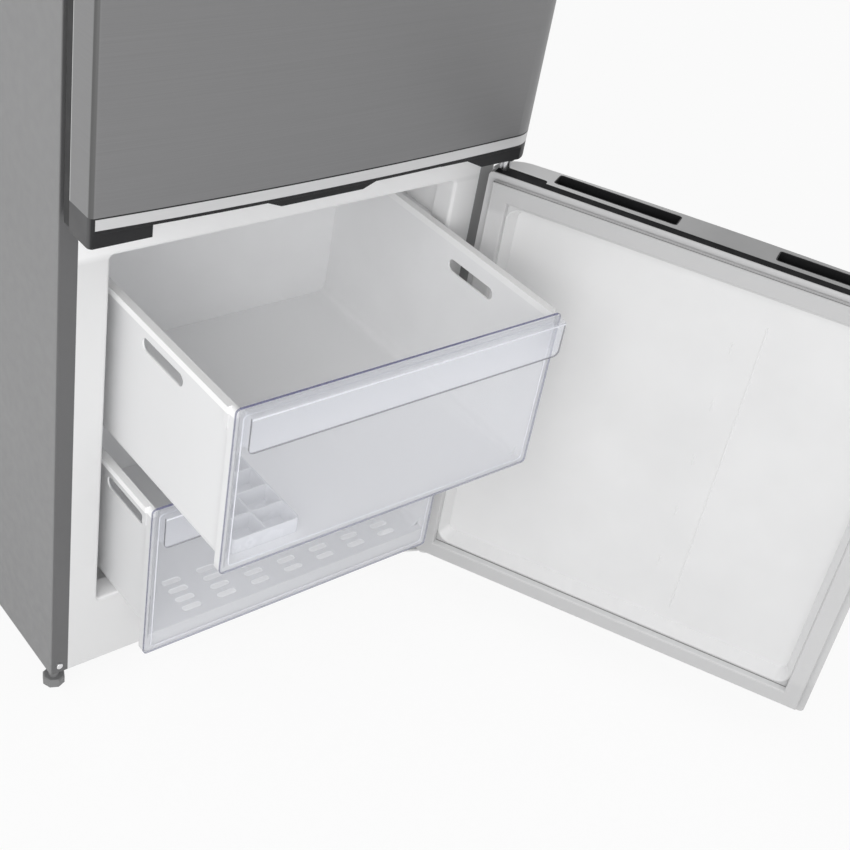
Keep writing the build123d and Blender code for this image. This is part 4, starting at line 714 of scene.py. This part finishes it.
def clear_details(drawer):
    """Edges and ribs of one drawer's clear front."""
    low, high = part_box(drawer + "_front")
    face = high.y - FRONT_SHEET
    pull_half = high.x - PULL_INSET
    pull_top = high.z - PULL_SHEET

    def detail(name, finish, path, profile, closed=False):
        """One swept piece of this front."""
        mesh = sweep(drawer + name, path, profile, closed=closed)
        add_piece(mesh.name, mesh, finish, drawer)

    detail(
        "_front_edge", clear_edge, ring_path(high.x, low.z, high.z, FRONT_CORNER),
        flat_band(EDGE_THICK, EDGE_SUNK, face, high.y), closed=True,
    )
    detail(
        "_pull_edge", clear_grey, apron_path(pull_half, high.z - PULL_HEIGHT, pull_top, PULL_CORNER),
        flat_band(EDGE_THICK, EDGE_SUNK, low.y, low.y + PULL_SHEET),
    )
    detail(
        "_front_top_line", clear_violet, level_path(high.x - FRONT_CORNER, high.z),
        flat_band(2 * EDGE_THICK, EDGE_SUNK, face - EDGE_THICK, high.y),
    )
    # painted highlight: a white strip along the top front edge of the pull
    detail(
        "_pull_highlight", clear_rib_and_highlight, level_path(pull_half, pull_top - HIGHLIGHT_HIGH),
        flat_band(HIGHLIGHT_HIGH, 0, low.y - EDGE_THICK, low.y + EDGE_SUNK),
    )
    detail(
        "_front_rib", clear_rib_and_highlight,
        ring_path(high.x - RIB_INSET, low.z + RIB_INSET, high.z - RIB_INSET, FRONT_CORNER),
        [(-RIB_WIDE / 2, face + EDGE_SUNK), (-RIB_WIDE / 4, face - RIB_HIGH),
         (RIB_WIDE / 4, face - RIB_HIGH), (RIB_WIDE / 2, face + EDGE_SUNK)], closed=True,
    )


for drawer in ("upper_drawer", "lower_drawer"):
    clear_details(drawer)


# Raised marks on the floor of the freezer door's tray

TRAY_DEPTH = 25 * MM
TRAY_FLOOR = DOOR_INNER - TRAY_DEPTH
LINE_X = HINGE_AXIS.x - 430 * MM
LINE_LOW = 124 * MM
LINE_HIGH = 672 * MM
DASH_X = HINGE_AXIS.x - 390 * MM
DASH_LOW = 207 * MM
DASH_PITCH = 103 * MM
DASH_COUNT = 5
DASH_LENGTH = 22 * MM
MARK_WIDE = 3.2 * MM
MARK_HIGH = 0.8 * MM
MARK_SUNK = 0.3 * MM
MARK_TIP = 0.1  # size of a mark's ends against its middle
MARK_STEPS = 6


def add_mark(work, x, low, high):
    """A low rounded ridge on the tray's floor, closed at both ends."""
    sections = []
    for z, size in ((low, MARK_TIP), (low + MARK_WIDE, 1.0), (high - MARK_WIDE, 1.0), (high, MARK_TIP)):
        section = []
        for k in range(MARK_STEPS + 1):
            angle = math.pi * k / MARK_STEPS
            at = Vector((
                x + size * MARK_WIDE / 2 * math.cos(angle),
                TRAY_FLOOR - MARK_SUNK + size * (MARK_HIGH + MARK_SUNK) * math.sin(angle), z,
            ))
            section.append(work.verts.new(door_turn(at)))
        sections.append(section)
    join_sections(work, sections, closed=False)


def tray_marks():
    """One long ridge and a row of short ones."""
    work = bmesh.new()
    add_mark(work, LINE_X, LINE_LOW, LINE_HIGH)
    for k in range(DASH_COUNT):
        middle = DASH_LOW + k * DASH_PITCH
        add_mark(work, DASH_X, middle - DASH_LENGTH / 2, middle + DASH_LENGTH / 2)
    mesh = finish_mesh("freezer_door_tray_marks", work)
    add_piece(mesh.name, mesh, door_tray, "freezer_door")


tray_marks()


# Light, floor and camera

def area_light(name, at, aim, size, power):
    """A large soft lamp."""
    lamp = bpy.data.lights.new(name, "AREA")
    lamp.shape = "SQUARE"
    lamp.size = size
    lamp.energy = power
    holder = bpy.data.objects.new(name, lamp)
    holder.location = at
    holder.rotation_euler = (Vector(aim) - Vector(at)).to_track_quat("-Z", "Y").to_euler()
    bpy.context.scene.collection.objects.link(holder)


def seen_as_background(tree):
    """1 for rays that show the background itself, 0 for those that light the object."""
    path = tree.nodes.new("ShaderNodeLightPath")
    seen = path.outputs["Is Camera Ray"]
    for name in ("Is Glossy Ray", "Is Transmission Ray"):
        either = tree.nodes.new("ShaderNodeMath")
        either.operation = "MAXIMUM"
        tree.links.new(seen, either.inputs[0])
        tree.links.new(path.outputs[name], either.inputs[1])
        seen = either.outputs["Value"]
    return seen


def scaled(tree, value, low, high):
    """Bring a value from 0 and 1 to two other values."""
    node = tree.nodes.new("ShaderNodeMapRange")
    node.inputs["To Min"].default_value = low
    node.inputs["To Max"].default_value = high
    tree.links.new(value, node.inputs["Value"])
    return node.outputs["Result"]


def pale_floor():
    """A plain white floor that keeps a faint shadow."""
    mesh = bpy.data.meshes.new("floor")
    corners = [(-FLOOR_HALF, -FLOOR_HALF, 0), (FLOOR_HALF, -FLOOR_HALF, 0),
               (FLOOR_HALF, FLOOR_HALF, 0), (-FLOOR_HALF, FLOOR_HALF, 0)]
    mesh.from_pydata(corners, [], [(0, 1, 2, 3)])
    floor = bpy.data.objects.new("floor", mesh)
    bpy.context.scene.collection.objects.link(floor)
    made = plastic("floor_pale", (0.90, 0.90, 0.90), rough=0.7, change=0.005, edge=0.0)
    tree = made.node_tree
    own = tree.nodes.new("ShaderNodeEmission")
    own.inputs["Strength"].default_value = 1.0
    mix = tree.nodes.new("ShaderNodeMixShader")
    tree.links.new(scaled(tree, seen_as_background(tree), 0, FLOOR_OWN_WHITE), mix.inputs["Fac"])
    tree.links.new(tree.nodes["Principled BSDF"].outputs["BSDF"], mix.inputs[1])
    tree.links.new(own.outputs["Emission"], mix.inputs[2])
    tree.links.new(mix.outputs["Shader"], tree.nodes["Material Output"].inputs["Surface"])
    mesh.materials.append(made)


def studio():
    """Even white surroundings with soft lamps from the left and the front."""
    world = bpy.data.worlds.new("studio")
    world.use_nodes = True
    tree = world.node_tree
    background = tree.nodes["Background"]
    background.inputs["Color"].default_value = (1, 1, 1, 1)
    tree.links.new(scaled(tree, seen_as_background(tree), WORLD_LEVEL, 1.0), background.inputs["Strength"])
    bpy.context.scene.world = world
    area_light("key", **KEY_LAMP)
    area_light("front", **FRONT_LAMP)


def photo_camera():
    """The camera of the photograph."""
    data = bpy.data.cameras.new("camera")
    data.lens = LENS_MM
    data.sensor_width = SENSOR_MM
    data.clip_end = CAMERA_REACH
    camera = bpy.data.objects.new("camera", data)
    columns = [CAMERA_RIGHT, CAMERA_UP, CAMERA_BACK]
    turn = Matrix([[axis[row] for axis in columns] for row in range(3)])
    camera.matrix_world = Matrix.Translation(CAMERA_AT) @ turn.to_4x4()
    bpy.context.scene.collection.objects.link(camera)
    bpy.context.scene.camera = camera


pale_floor()
studio()
photo_camera()
bpy.context.scene.view_settings.view_transform = "Standard"
